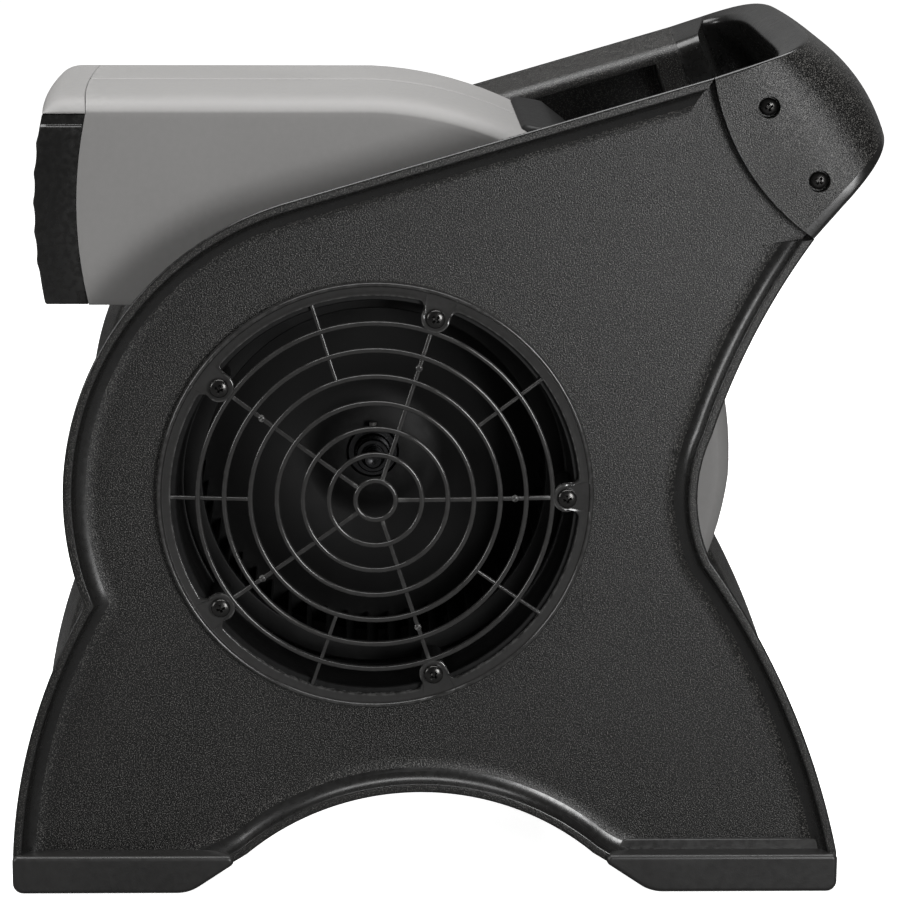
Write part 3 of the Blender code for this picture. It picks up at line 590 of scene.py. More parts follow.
def build_foot(shape, side, front):
    """A flared foot: its outer face stands proud of the rim, and its inner end slants."""
    outer = FRAME_FOOT[0] if front else FRAME_FOOT[1]
    inner = FOOT_INNER[0] if front else FOOT_INNER[1]
    inward = 1 if front else -1
    corners = [
        (outer - inward * 0.0002, FOOT_TOP),
        (outer - inward * 0.0002, FOOT_BOTTOM),
        (inner - inward * FOOT_SLANT, FOOT_BOTTOM),
        (inner, FOOT_TOP),
    ]
    radii = [0.0036, 0.0065, 0.0240, 0.0036]
    if not front:
        corners, radii = corners[::-1], radii[::-1]
    outline = rounded(corners, radii)
    profile = ellipse((0.002, FRAME_IN + 0.002), (0.002, 0.002), 270, 180, 4)
    profile += ellipse((0.0027, FOOT_OUT - 0.0027), (0.0027, 0.0027), 180, 90, 8)
    profile.append((0.0034, FOOT_OUT))
    rows = [[(side * x, y, z) for y, z in shrunk(outline, d)] for d, x in profile]
    shape.loft(rows, 2)
    if front:
        return
    step = [
        (inner + 0.012, FOOT_TOP - 0.001),
        (outer - 0.0055, FOOT_TOP - 0.001),
        (outer - 0.0065, FOOT_TOP + 0.0062),
        (inner + 0.020, FOOT_TOP + 0.0062),
    ]
    outline = rounded(step, [0.0012, 0.0012, 0.0015, 0.004], 4)
    levels = ((0, WEB_IN), (0, 0.1318), (0.0005, 0.1323))
    shape.loft([[(side * x, y, z) for y, z in shrunk(outline, d)] for d, x in levels], 2)


# ---------------------------------------------------------------- carry handle
def handle_plan():
    """Even steps round the handle's U, seen from above, as (share of half width, share of reach)."""
    fine = 720
    power = 2 / HANDLE_BEND
    plan = []
    for i in range(fine + 1):
        angle = math.pi * i / fine
        across = math.copysign(abs(math.cos(angle)) ** power, math.cos(angle))
        plan.append((across, abs(math.sin(angle)) ** power))
    lengths = [0.0]
    for a, b in zip(plan, plan[1:]):
        lengths.append(lengths[-1] + math.hypot((b[0] - a[0]) * FRAME_OUT, (b[1] - a[1]) * 0.07))
    even = np.linspace(0, lengths[-1], 121)
    across = np.interp(even, lengths, [p[0] for p in plan])
    reach = np.interp(even, lengths, [p[1] for p in plan])
    return list(zip(across, reach))


def handle_section(wall):
    """Closed loop of (share across the band, metres in from a skin, which skin, finish).

    The outer top edge is crisp. From there the top falls inwards to a broad round.
    """
    span = math.dist(SEAM_TOP, SEAM_BOTTOM)
    crisp, low = 0.0018, 0.0035
    soft = min(0.010, 0.42 * wall)
    fall, drop = 0.15 * wall, 0.8 * soft
    loop = [(u, 0.0, "outer", 0) for u in np.linspace(0.07, 0.965, 20)]
    for a in np.radians(np.linspace(0, 90, 6)):
        loop.append((1 - (1 - math.sin(a)) * crisp / span, crisp * (1 - math.cos(a)), "outer", 1))
    for a in np.radians(np.linspace(0, 90, 9)):
        share = 1 - (fall + (1 - math.cos(a)) * drop) / span
        loop.append((share, soft * (1 - math.sin(a)), "inner", 1))
    start = 1 - (fall + drop) / span
    loop += [(u, 0.0, "inner", 1) for u in np.linspace(start - 0.03, 0.10, 12)]
    for a in np.radians(np.linspace(0, 90, 6)):
        loop.append(((1 - math.sin(a)) * low / span, low * (1 - math.cos(a)), "inner", 1))
    for a in np.radians(np.linspace(0, 80, 6)):
        loop.append(((1 - math.cos(a)) * low / span, low * (1 - math.sin(a)), "outer", 1))
    return loop


def build_handle():
    """The carry handle: a broad band that wraps round the rear from frame to frame."""
    seam = np.array(seam_line(-SEAM_GAP, 60))
    grip = np.array(arc_through(GRIP_BOTTOM, GRIP_MIDDLE, GRIP_TOP, 60))
    shares = np.linspace(0, 1, 61)

    def skin(across, reach, u, wall, inner):
        if inner:
            reach *= HANDLE_REACH_IN
        width = FRAME_OUT - (wall if inner else 0)
        low = np.array([np.interp(u, shares, seam[:, 0]), np.interp(u, shares, seam[:, 1])])
        high = np.array([np.interp(u, shares, grip[:, 0]), np.interp(u, shares, grip[:, 1])])
        y, z = low + (high - low) * reach
        return np.array((across * width, y, z))

    shape = Shape()
    rows = []
    for across, reach in handle_plan():
        fade = min(1.0, max(0.0, (0.46 - reach) / 0.16))
        fade = fade * fade * (3 - 2 * fade)
        wall = HANDLE_WALL + (FRAME_OUT - FRAME_IN - HANDLE_WALL) * fade
        ends = [skin(across, reach, 1.0, wall, inner) for inner in (False, True)]
        section = handle_section(np.linalg.norm(ends[1] - ends[0]))
        row = []
        for u, away, near, _ in section:
            outer, inner = skin(across, reach, u, wall, False), skin(across, reach, u, wall, True)
            share = min(0.49, away / np.linalg.norm(inner - outer))
            row.append(outer + (inner - outer) * (share if near == "outer" else 1 - share))
        rows.append(row)
    rows = [shape.points(row) for row in rows]
    count = len(section)
    for low, high in zip(rows, rows[1:]):
        for i in range(count):
            j = (i + 1) % count
            shape.face((low[i], low[j], high[j], high[i]), section[i][3])
    for row in (rows[0], rows[-1]):
        i, j = 0, count - 1
        while j - i > 1:
            if abs(section[i + 1][0] - section[j][0]) <= abs(section[j - 1][0] - section[i][0]):
                shape.face((row[i], row[i + 1], row[j]), 1)
                i += 1
            else:
                shape.face((row[i], row[j - 1], row[j]), 1)
                j -= 1
    finishes = [PEBBLE, SATIN]
    handle = shape.build("handle_band", finishes, "stand", "carry_handle", sharp=45)
    tools = Shape()
    for side in (1, -1):
        for y, z in HANDLE_SCREWS:
            base = side * (FRAME_OUT - RECESS_DEPTH)
            profile = [(base, 0), (base, RECESS_RADIUS - 0.0004)]
            profile += [(base + side * 0.0004, RECESS_RADIUS)]
            profile += [(side * 0.150, RECESS_RADIUS), (side * 0.150, 0)]
            tools.lathe(profile, 48, Matrix.Translation((0, y, z)), 0)
    carve(handle, tools.build("recesses", [DARK]), sharp=45)
    for side, label in ((1, "left"), (-1, "right")):
        for i, (y, z) in enumerate(HANDLE_SCREWS):
            seat = (side * (FRAME_OUT - RECESS_DEPTH + CLEAR), y, z)
            name = f"handle_screw_{label}_{i + 1}"
            build_screw(name, seat, side, 0.0052, 0.0034, 37 * i + 15, "stand")


def build_screw(name, seat, side, radius, height, turn, body):
    """A pan-head screw with a cross recess."""
    shape = Shape()
    place = facing(seat, (side, 0, 0))
    profile = [(-0.006, 0), (-0.006, 0.0020), (0, 0.0020), (0, radius)]
    profile += ellipse((height * 0.35, 0), (height * 0.65, radius), 90, 15, 12)
    profile += [(height, radius * 0.2), (height, 0)]
    shape.lathe(profile, 40, place)
    head = shape.build(f"{name}_head", [OXIDE], body, name, sharp=40)
    for spin in (turn, turn + 90):
        wing = []
        spun = Matrix.Rotation(math.radians(spin), 4, "X")
        mouth = (height + 0.001, 0.0010, radius * 0.62)
        bottom = (height * 0.25, 0.0005, radius * 0.22)
        for depth, half, reach in (mouth, bottom):
            corners = ((-reach, -half), (reach, -half), (reach, half), (-reach, half))
            wing.append([place @ spun @ Vector((depth, a, b)) for a, b in corners])
        cross = Shape()
        cross.loft(wing)
        carve(head, cross.build("cross", [OXIDE]), sharp=40)


# ---------------------------------------------------------------- blower head
def crown(x):
    return CROWN * (1 - min(1, abs(x) / HEAD_HALF) ** CROWN_POWER)


def scroll_radius(angle):
    """Radius of the head's wrap: angle 0 is the rear, and -180 degrees is the front."""
    front, bottom, rear, top = SCROLL_RADII
    return float(np.interp(math.degrees(angle), (-180, -90, 0, 90), (front, bottom, rear, top)))


def outlet_bow(z):
    """1 at the middle of the outlet's height, 0 at its top and bottom."""
    share = (z - OUTLET_BOTTOM) / (OUTLET_TOP - OUTLET_BOTTOM) * 2 - 1
    return max(0.0, 1 - share * share)


def visor_bow(x):
    """The visor and its seam stand further forward towards the middle."""
    return VISOR_BOW * (1 - (x / HEAD_HALF) ** 2)


def head_outline(lift, shrink, front, bow=0.0):
    """The head from the side, counter-clockwise, at one crown height and one wall depth."""
    top = OUTLET_TOP + lift - shrink
    bottom = OUTLET_BOTTOM + shrink
    tongue = TONGUE_ANGLE - shrink * math.radians(2) / HEAD_WALL
    outline = []
    steps = 120
    for i in range(steps + 1):
        angle = tongue - math.tau + (math.radians(90) + math.tau - tongue) * i / steps
        fade = min(1, max(0, 1 + (angle + math.radians(90)) / math.radians(60)))
        outline.append(polar(scroll_radius(angle) + lift * fade - shrink, angle))
    outline += [(y, top) for y in (-0.030, -0.060, -0.090, -0.120, -0.145)]
    for z in np.linspace(top, bottom, 19):
        outline.append((front - SHELL_BOW * outlet_bow(z) - (bow if z > OUTLET_TOP - 0.02 else 0), z))
    outline.append((-0.125 + shrink, bottom))
    return outline


def shoulder_stations():
    """Distances from the middle plane, closer together over the tight shoulder."""
    last = (0.0894, 0.0906, HEAD_HALF - 0.0005)
    return [*np.linspace(0, 0.062, 8), *np.linspace(0.066, 0.088, 14), *last]


def build_shell(name, side):
    """Half of the scroll housing, open at the outlet, with its round inlet."""
    stations = [(CLEAR, 0.0016), (CLEAR + 0.0010, 0.0003), (CLEAR + 0.0018, 0.0)]
    stations += [(x, 0.0) for x in shoulder_stations() if x > 0.005]
    stations += [(HEAD_HALF - 0.0001, 0.0002), (HEAD_HALF, 0.0006), (HEAD_HALF, 0.0040)]
    rows = []
    for x, shrink in stations:
        outline = head_outline(crown(x), 0, SHELL_FRONT, visor_bow(x))
        rows.append([(side * x, y, z) for y, z in shrunk(outline, shrink)])
    shape = Shape()
    shape.loft(rows)
    shape.weld()
    shell = shape.build(f"{name}_shell", [GREY], "head", name, sharp=40)
    tools = Shape()
    rows = []
    for x in [-0.010] + [x for x in shoulder_stations() if x < 0.0885] + [HEAD_HALF - HEAD_WALL]:
        outline = head_outline(crown(max(x, 0)), HEAD_WALL, -0.210)
        rows.append([(side * x, y, z) for y, z in outline])
    tools.loft(rows)
    carve(shell, tools.build("hollow", [GREY]), sharp=40)
    tools = Shape()
    bore = [(side * x, r) for x, r in ((0.080, 0), (0.080, INLET_RADIUS), (0.099, INLET_RADIUS), (0.099, 0))]
    tools.lathe(bore, 96)
    carve(shell, tools.build("inlet", [GREY]), sharp=40)


def build_visor():
    """Grey hood over the outlet, bowed forward a little, with a rounded nose."""
    xs = [HEAD_HALF, HEAD_HALF - 0.0001] + shoulder_stations()[::-1]
    xs = xs + [-x for x in xs[-2::-1]]
    base = OUTLET_TOP - 0.0008
    rows = []
    for x in xs:
        bow = visor_bow(x)
        back = SHELL_FRONT - CLEAR - bow
        top = OUTLET_TOP + crown(x) - (0.0005 if abs(x) == HEAD_HALF else 0)
        row = [(back, base), (back, top - 0.0004), (back - 0.0004, top)]
        row += ellipse((VISOR_FRONT + 0.0138 - bow, base), (0.0138, top - base), 90, 180, 14)
        rows.append([(x, y, z) for y, z in row])
    shape = Shape()
    shape.loft(rows)
    shape.build("visor_hood", [GREY], "head", "outlet_visor", sharp=40)


def bar_heights():
    centre = (OUTLET_BOTTOM + OUTLET_TOP) / 2 + 0.0038
    return [centre + (i - (OUTLET_BARS - 1) / 2) * OUTLET_PITCH for i in range(OUTLET_BARS)]


def outlet_front(z):
    """Front edge of the outlet grille, which swells a little at each bar."""
    swell = sum(math.exp(-(((z - bar) / 0.0036) ** 2)) for bar in bar_heights())
    return GRILLE_FRONT - GRILLE_BOW * outlet_bow(z) - 0.0009 * swell


def build_outlet_grille():
    """Black outlet frame with a stepped top edge, rounded cross bars and upright ribs."""
    low, high = OUTLET_BOTTOM, OUTLET_TOP - 0.0014
    half = HEAD_HALF
    ledge = OUTLET_TOP - 0.0088
    side_line = [(half, z) for z in np.linspace(low + 0.0030, ledge, 44)]
    edge = [(half - 0.0003, ledge + 0.0004), (half - 0.0012, ledge + 0.0009)]
    edge += [(half - 0.0016, ledge + 0.0014)]
    right = ellipse((half - 0.0030, low + 0.0030), (0.0030, 0.0030), 270, 355, 5)
    right += side_line + edge + [(half - 0.0016, high - 0.0006), (half - 0.0022, high)]
    top = [(x, high) for x in np.linspace(half - 0.010, -half + 0.010, 14)]
    left = [(-x, z) for x, z in right[::-1]]
    bottom = [(x, low) for x in np.linspace(-half + 0.010, half - 0.010, 14)]
    outline = right + top + left + bottom
    wall = 0.0040

    def row(inset_by, forward):
        placed = []
        for x, z in shrunk(outline, inset_by):
            back = SHELL_FRONT - CLEAR - SHELL_BOW * outlet_bow(z)
            front = outlet_front(z)
            placed.append((x, back + (front - back) * forward, z))
        return placed

    shape = Shape()
    rows = [row(0.0004, 0.0), row(0, 0.02), row(0, 0.5), row(0, 0.95), row(0.0003, 0.985)]
    rows += [row(0.0012, 1.0), row(wall - 0.0008, 1.0), row(wall, 0.96), row(wall, 0.5), row(wall, 0.0)]
    shape.loft(rows, ring=True)
    for z in bar_heights():
        y = outlet_front(z)
        front, back = y + 0.0002, y + 0.012
        corners = [(front, z - 0.0021), (back, z - 0.0014), (back, z + 0.0014), (front, z + 0.0021)]
        section = rounded(corners, [0.0018, 0.0006, 0.0006, 0.0018], 5)
        xs = (-half + wall * 0.5, half - wall * 0.5)
        shape.loft([[(x, *p) for p in section] for x in xs])
    for i in range(3):
        x = -half + (i + 1) * half / 2
        zs = np.linspace(low + wall * 0.5, high - wall * 0.5, 24)
        rows = []
        for z in zs:
            y = GRILLE_FRONT + 0.003 - GRILLE_BOW * outlet_bow(z)
            corners = [(x - 0.0013, y), (x - 0.0011, y + 0.012), (x + 0.0011, y + 0.012), (x + 0.0013, y)]
            rows.append([(a, b, z) for a, b in rounded(corners, [0.0009, 0.0003, 0.0003, 0.0009], 3)])
        shape.loft(rows)
    shape.build("outlet_bars", [SATIN], "head", "outlet_grille", sharp=32)


# ---------------------------------------------------------------- intakes
def dome(radius):
    """How far the grille stands proud at one radius."""
    share = max(0.0, 1 - (radius / FLANGE_IN) ** 2)
    return GRILLE_DOME * share


def lobe_contour():
    """Inner edge of the flange, clockwise, with a rounded lobe round each screw."""
    outline = []
    for i in range(SCREWS):
        centre_angle = math.tau * i / SCREWS
        reach = math.radians(5.7)
        arc = arc_about((SCREW_CIRCLE, 0), LOBE_RADIUS, math.radians(66), math.radians(294), 22)
        foot = (polar(FLANGE_IN, reach), (FLANGE_IN - 0.0010, polar(FLANGE_IN, reach)[1] - 0.0016))
        local = list(foot) + arc + [(y, -z) for y, z in foot[::-1]]
        for y, z in local[::-1]:
            turn = Matrix.Rotation(centre_angle, 2)
            outline.append(tuple(turn @ Vector((y, z))))
        start, end = centre_angle + reach, centre_angle + math.tau / SCREWS - reach
        outline += arc_about((0, 0), FLANGE_IN, start, end, 34)[1:-1]
    return outline[::-1]


def build_intake_grille(name, side):
    """Domed round grille: seven rings, spokes behind them, and a rimmed flange with screw lobes."""
    back = COLLAR_END + CLEAR
    face = back + GRILLE_THICK
    contour = lobe_contour()
    angles = [math.atan2(z, y) for y, z in contour]
    raised = dome(SCREW_CIRCLE - LOBE_RADIUS)

    def level(y, z):
        """The flange is flat; a lobe rises towards the grille's dome."""
        return raised * min(1, max(0, (FLANGE_IN - 0.002 - math.hypot(y, z)) / 0.006))

    def edge_row(inset_by, x):
        return [(side * (x + level(y, z)), y, z) for y, z in shrunk(contour, inset_by)]

    def round_row(radius, x):
        return [(side * x, *polar(radius, a)) for a in angles]

    shape = Shape()
    rows = [edge_row(0, back), edge_row(0, face - 0.0007), edge_row(0.0002, face - 0.0002)]
    rows += [edge_row(0.0008, face), edge_row(0.0018, face - 0.0001)]
    rows += [round_row(0.1256, face - 0.0002), round_row(0.1264, face)]
    for radius, x in ellipse((0.1280, face - 0.0006), (0.0014, 0.0018), 165, 0, 9):
        rows.append(round_row(radius, x))
    rows += [round_row(FLANGE_OUT - 0.0001, back + 0.0006), round_row(FLANGE_OUT - 0.0006, back)]
    shape.loft(rows, ring=True)
    for radius in RINGS:
        base = back + dome(radius)
        top = base + GRILLE_THICK
        corners = [(base, radius - 0.0014), (base, radius + 0.0014)]
        corners += [(top, radius + 0.0015), (top, radius - 0.0015)]
        section = rounded(corners, [0.0005, 0.0005, 0.0012, 0.0012], 5)
        shape.lathe([(side * x, r) for x, r in section], 160)
    for spoke in range(2 * SCREWS):
        full = spoke % 2 == 0
        start = RINGS[0] if full else RINGS[4]
        end = SCREW_CIRCLE - LOBE_RADIUS + 0.001 if full else FLANGE_IN + 0.0005
        build_spoke(shape, side, math.tau * spoke / (2 * SCREWS), start, end, 0.0013 if full else 0.0011)
        if full:
            y, z = polar(NUB_CIRCLE, math.tau * spoke / (2 * SCREWS))
            seat = (side * (back + dome(NUB_CIRCLE) + GRILLE_THICK - 0.0022), y, z)
            nub = [(0, 0), (0, 0.0021), (0.0012, 0.0020), (0.0017, 0.0014), (0.0018, 0.0008), (0.0015, 0)]
            shape.lathe(nub, 20, facing(seat, (side, 0, 0)))
    shape.build(f"{name}_rings", [GLOSS], "head", name, sharp=40)
    for i in range(SCREWS):
        y, z = polar(SCREW_CIRCLE, math.tau * i / SCREWS)
        seat = (side * (face + raised * 0.9 + CLEAR), y, z)
        label = name.replace("intake_grille", "intake_screw")
        build_screw(f"{label}_{i + 1}", seat, side, 0.0056, 0.0032, 31 * i + 12, "head")


def build_spoke(shape, side, angle, start, end, half):
    """A spoke that follows the dome, a little lower than the rings."""
    low = COLLAR_END + CLEAR + 0.0004
    rows = []
    for radius in np.linspace(start, end, 22):
        base = low + dome(radius)
        top = base + GRILLE_THICK - 0.0013
        corners = [(-half, base), (half, base), (half, top), (-half, top)]
        row = []
        for across, x in rounded(corners, [0.0004, 0.0004, 0.0008, 0.0008], 4):
            y, z = Matrix.Rotation(angle, 2) @ Vector((radius, across))
            row.append((side * x, y, z))
        rows.append(row)
    shape.loft(rows)


def build_collar(name, side):
    """Black inlet collar: a rounded bell mouth with the posts that take the grille's screws."""
    base = HEAD_HALF + CLEAR
    root = HEAD_HALF - HEAD_WALL
    profile = [(root, 0.1150), (root, 0.1180), (base, 0.1180), (base, 0.1228), (base + 0.0006, 0.1234)]
    profile += [(COLLAR_END - 0.0006, 0.1234), (COLLAR_END, 0.1228), (COLLAR_END, 0.1186)]
    profile += [(COLLAR_END - 0.0006, 0.1180)]
    profile += ellipse((HEAD_HALF + 0.012, 0.1150), (0.010, 0.0030), 90, 180, 8)
    shape = Shape()
    shape.lathe([(side * x, radius) for x, radius in profile], 128)
    for i in range(SCREWS):
        y, z = polar(SCREW_CIRCLE + 0.001, math.tau * i / SCREWS)
        end = COLLAR_END - CLEAR
        post = [(base + 0.001, 0), (base + 0.001, 0.0066), (end - 0.0008, 0.0062)]
        post += [(end, 0.0056), (end, 0)]
        shape.lathe([(side * x, r) for x, r in post], 24, Matrix.Translation((0, y, z)))
    shape.build(f"{name}_mouth", [DARK], "head", name, sharp=35)


# ---------------------------------------------------------------- wheel and drive
def build_wheel():
    """Double-inlet squirrel-cage wheel with curved blades on both sides of a pressed disc."""
    shape = Shape()
    first, last = WHEEL_ENDS
    for low, high in ((first, first + 0.0045), (last - 0.0045, last)):
        corners = [(low, WHEEL_BAND), (high, WHEEL_BAND), (high, WHEEL_RADIUS), (low, WHEEL_RADIUS)]
        shape.lathe(rounded(corners, [0.001] * 4, 3), 128)
    disc = [(WHEEL_DISC[0], 0.0165), (WHEEL_DISC[0], WHEEL_RADIUS), (WHEEL_DISC[1], WHEEL_RADIUS)]
    disc += [(WHEEL_DISC[1], 0.098), (WHEEL_DISC[1] + 0.0016, 0.090), (WHEEL_DISC[1] + 0.0016, 0.050)]
    disc += [(WHEEL_DISC[1], 0.044), (WHEEL_DISC[1], 0.034), (WHEEL_DISC[1] + 0.0022, 0.030)]
    disc += [(WHEEL_DISC[1] + 0.0022, 0.0165)]
    shape.lathe(disc, 96)
    spans = ((first + 0.002, WHEEL_DISC[0] + 0.001), (WHEEL_DISC[1] - 0.001, last - 0.002))
    for i in range(WHEEL_BLADES):
        for low, high in spans:
            outer, inner = [], []
            for k in range(6):
                share = k / 5
                radius = WHEEL_BAND + 0.0004 + (WHEEL_RADIUS - WHEEL_BAND - 0.0008) * share
                lean = math.tau * i / WHEEL_BLADES + 0.055 * math.sin(share * math.pi / 2)
                half = 0.00055 / radius
                outer.append(polar(radius, lean + half))
                inner.append(polar(radius, lean - half))
            loop = outer + inner[::-1]
            shape.loft([[(x, *p) for p in loop] for x in (low, high)])
    shape.build("wheel_cage", [WHEEL], "wheel", "blower_wheel", sharp=35)

    shape = Shape()
    base = WHEEL_DISC[0] - 0.0007
    hub = [(base, 0.0064), (base, 0.0156), (0.0105, 0.0156), (0.0112, 0.0150), (0.0112, 0.0118)]
    hub += [(0.0120, 0.0110), (0.0232, 0.0106), (0.0240, 0.0098), (0.0240, 0.0076)]
    hub += [(0.0232, 0.0068), (0.0232, 0.0064)]
    shape.lathe(hub, 64)
    shape.build("hub_turned", [BLUED], "wheel", "wheel_hub", sharp=35)
    shape = Shape()
    shaft = [(-0.060, 0), (-0.060, 0.0055), (-0.0595, 0.0060), (0.0330, 0.0060)]
    shaft += [(0.0340, 0.0050), (0.0340, 0.0012), (0.0334, 0)]
    shape.lathe(shaft, 48)
    shape.build("shaft_ground", [BLUED], "wheel", "motor_shaft", sharp=35)


def build_tubes():
    """The two steel tubes that tie the frames together, with a rolled groove at each end."""
    for label, (y, z) in zip(("front", "rear"), TIE_PLACES):
        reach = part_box(f"cross_tube_{label}")[1].x
        half = [(reach, 0), (reach, 0.0072), (reach - 0.0008, 0.0080), (0.0955, 0.0080)]
        half += [(0.0945, 0.0074), (0.0930, 0.0074), (0.0920, 0.0080)]
        profile = half + [(-a, r) for a, r in half[::-1]]
        shape = Shape()
        shape.lathe(profile, 56, Matrix.Translation((0, y, z)))
        shape.build(f"tie_{label}", [STEEL], "stand", f"cross_tube_{label}", sharp=35)


def build_pads():
    """Rubber pads under the feet, drawn without ribs."""
    for label in ("left_front", "left_rear", "right_front", "right_rear"):
        low, high = (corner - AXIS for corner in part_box(f"foot_pad_{label}"))
        corners = [(low.x, low.y), (high.x, low.y), (high.x, high.y), (low.x, high.y)]
        outline = rounded(corners, [0.004] * 4, 6)
        shape = Shape()
        levels = ((0.0006, low.z), (0.0, low.z + 0.0005), (0.0, high.z))
        shape.loft([[(x, y, z) for x, y in shrunk(outline, d)] for d, z in levels])
        shape.build(f"pad_{label}", [RUBBER], "stand", f"foot_pad_{label}", sharp=40)


# ---------------------------------------------------------------- control panel
def panel_axes():
    """Middle of the control panel's outer face, and its outward and downhill directions."""
    centre_angle = sum(PANEL_ANGLES) / 2
    radius = scroll_radius(centre_angle) + CROWN + PANEL_RISE
    outward = Vector((0, *polar(1, centre_angle)))
    downhill = Vector((0, *polar(1, centre_angle - math.radians(90))))
    return outward * radius, outward, downhill


def build_panel():
    """Control panel that hugs the wrap, with its bays, dial marks, sockets, gland and knob."""
    centre, outward, downhill = panel_axes()

    def on_panel(across, down, height):
        return centre + Vector((across, 0, 0)) + downhill * down + outward * height

    def under(across, down):
        """Height of the wrap's surface under a point of the panel."""
        height = -0.004
        for _ in range(8):
            point = on_panel(across, down, height)
            angle = math.atan2(point.z, point.y)
            wrap = scroll_radius(angle) + crown(across) + CLEAR
            height += wrap - math.hypot(point.y, point.z)
        return height

    up_end, down_end, corner, edge = -0.0625, 0.056, 0.009, 0.0022

    def top(across, down):
        """The face is flat, but falls to the wrap near its uphill end."""
        return min(0.0, under(across, down) + 0.003 + 0.35 * (down - up_end))

    ends = [0.0, 0.0003, 0.0009, 0.0016, 0.0024, 0.004, 0.0062, 0.009]
    downs = [up_end + e for e in ends] + list(np.linspace(-0.050, 0.044, 26))
    downs += [down_end - e for e in ends[::-1]]
    rows = []
    for down in downs:
        from_end = min(down - up_end, down_end - down)
        short = corner - math.sqrt(max(0, corner**2 - max(0, corner - from_end) ** 2))
        half = PANEL_HALF - short
        dip = edge - math.sqrt(max(0, edge**2 - max(0, edge - from_end) ** 2))
        row = [(a, under(a, down)) for a in np.linspace(-half, half, 25)]
        turns = np.radians((90, 68, 45, 22, 0))
        rim = [(half - edge + edge * math.sin(a), edge * (1 - math.cos(a))) for a in turns]
        face = [(a, 0.0) for a in np.linspace(half - 0.006, 0.006 - half, 17)]
        for a, drop in rim + face + [(-a, drop) for a, drop in rim[::-1]]:
            row.append((a, max(top(a, down) - max(drop, dip), under(a, down) + 0.0006)))
        rows.append([on_panel(a, down, height) for a, height in row])
    shape = Shape()
    shape.loft(rows)
    panel = shape.build("panel_plate", [DARK], "head", "control_panel", sharp=35)
    tools = Shape()
    dish = [(-0.0012, 0), (-0.0012, 0.0196), (-0.0004, 0.0206), (0.01, 0.0206), (0.01, 0)]
    knob_at = on_panel(-0.040, 0.004, 0)
    tools.lathe(dish, 64, facing(knob_at, outward))
    button_at = on_panel(0.004, 0.020, 0)
    bore = [(-0.0040, 0), (-0.0040, 0.0056), (-0.0006, 0.0056), (0.0004, 0.0066), (0.01, 0.0066), (0.01, 0)]
    tools.lathe(bore, 40, facing(button_at, outward))
    for down in (-0.018, 0.024):
        bay = rounded(rectangle(0.0172, 0.0157), [0.002] * 4, 4)
        tools.loft([[on_panel(0.042 + a, down + d, height) for a, d in bay] for height in (-0.0034, 0.010)])
    carve(panel, tools.build("bays", [DARK]), sharp=35)

    marks = Shape()
    for i in range(4):
        angle = math.radians(45 * i - 67.5)
        corners = [(-0.0006, 0.0225), (0.0006, 0.0225), (0.0006, 0.0270), (-0.0006, 0.0270)]
        loops = []
        for height in (-0.0004, 0.00025):
            loop = []
            for a, d in corners:
                spun = Matrix.Rotation(-angle, 2) @ Vector((a, -d))
                loop.append(on_panel(-0.040 + spun.x, 0.004 + spun.y, height))
            loops.append(loop)
        marks.loft(loops)
    marks.build("dial_marks", [MARK], "head", None)

    for i, down in enumerate((-0.018, 0.024)):
        build_receptacle(f"receptacle_{i + 1}", on_panel, 0.042, down)
    build_gland(on_panel, outward)
    build_knob(knob_at, outward)
    build_button(button_at, outward)


def build_receptacle(name, on_panel, across, down):
    """A three-hole socket: two blade slots, an earth hole and a raised face."""
    outline = rounded(rectangle(0.0160, 0.0145), [0.0025] * 4, 5)
    face = rounded(rectangle(0.0125, 0.0115), [0.006] * 4, 5)
    shape = Shape()
    rows = []
    for loop, height in ((outline, -0.0033), (outline, -0.0002), (shrunk(outline, 0.0006), 0.0002),
                         (face, 0.0002), (face, 0.0014), (shrunk(face, 0.0005), 0.0019)):
        rows.append([on_panel(across + a, down + d, height) for a, d in loop])
    shape.loft(rows)
    socket = shape.build(f"{name}_face", [SOCKET], "head", name, sharp=30)
    tools = Shape()
    for shift in (-0.0055, 0.0055):
        left, right = shift - 0.0009, shift + 0.0009
        slot = [(left, -0.0060), (right, -0.0060), (right, 0.0016), (left, 0.0016)]
        tools.loft([[on_panel(across + a, down + d, h) for a, d in slot] for h in (-0.0028, 0.004)])
    earth = [polar(0.0023, math.tau * k / 20) for k in range(20)]
    tools.loft([[on_panel(across + a, down + 0.0062 + d, h) for a, d in earth] for h in (-0.0028, 0.004)])
    carve(socket, tools.build("slots", [DARK]), sharp=30)


def build_gland(on_panel, outward):
    """Ribbed strain relief where a supply cord would leave."""
    place = facing(on_panel(-0.058, 0.034, 0), outward)
    profile = [(CLEAR, 0.0042), (CLEAR, 0.0080), (0.0006, 0.0085), (0.0026, 0.0085), (0.0031, 0.0080)]
    for i in range(3):
        base = 0.0034 + 0.0024 * i
        radius = 0.0076 - 0.0005 * i
        profile += [(base, radius - 0.0009), (base + 0.0005, radius)]
        profile += [(base + 0.0015, radius), (base + 0.0020, radius - 0.0009)]
    profile += [(0.0108, 0.0058), (0.0110, 0.0050), (0.0106, 0.0042)]
    shape = Shape()
    shape.lathe(profile, 48, place)
    shape.build("gland_ribs", [RUBBER], "head", "cord_gland", sharp=40)


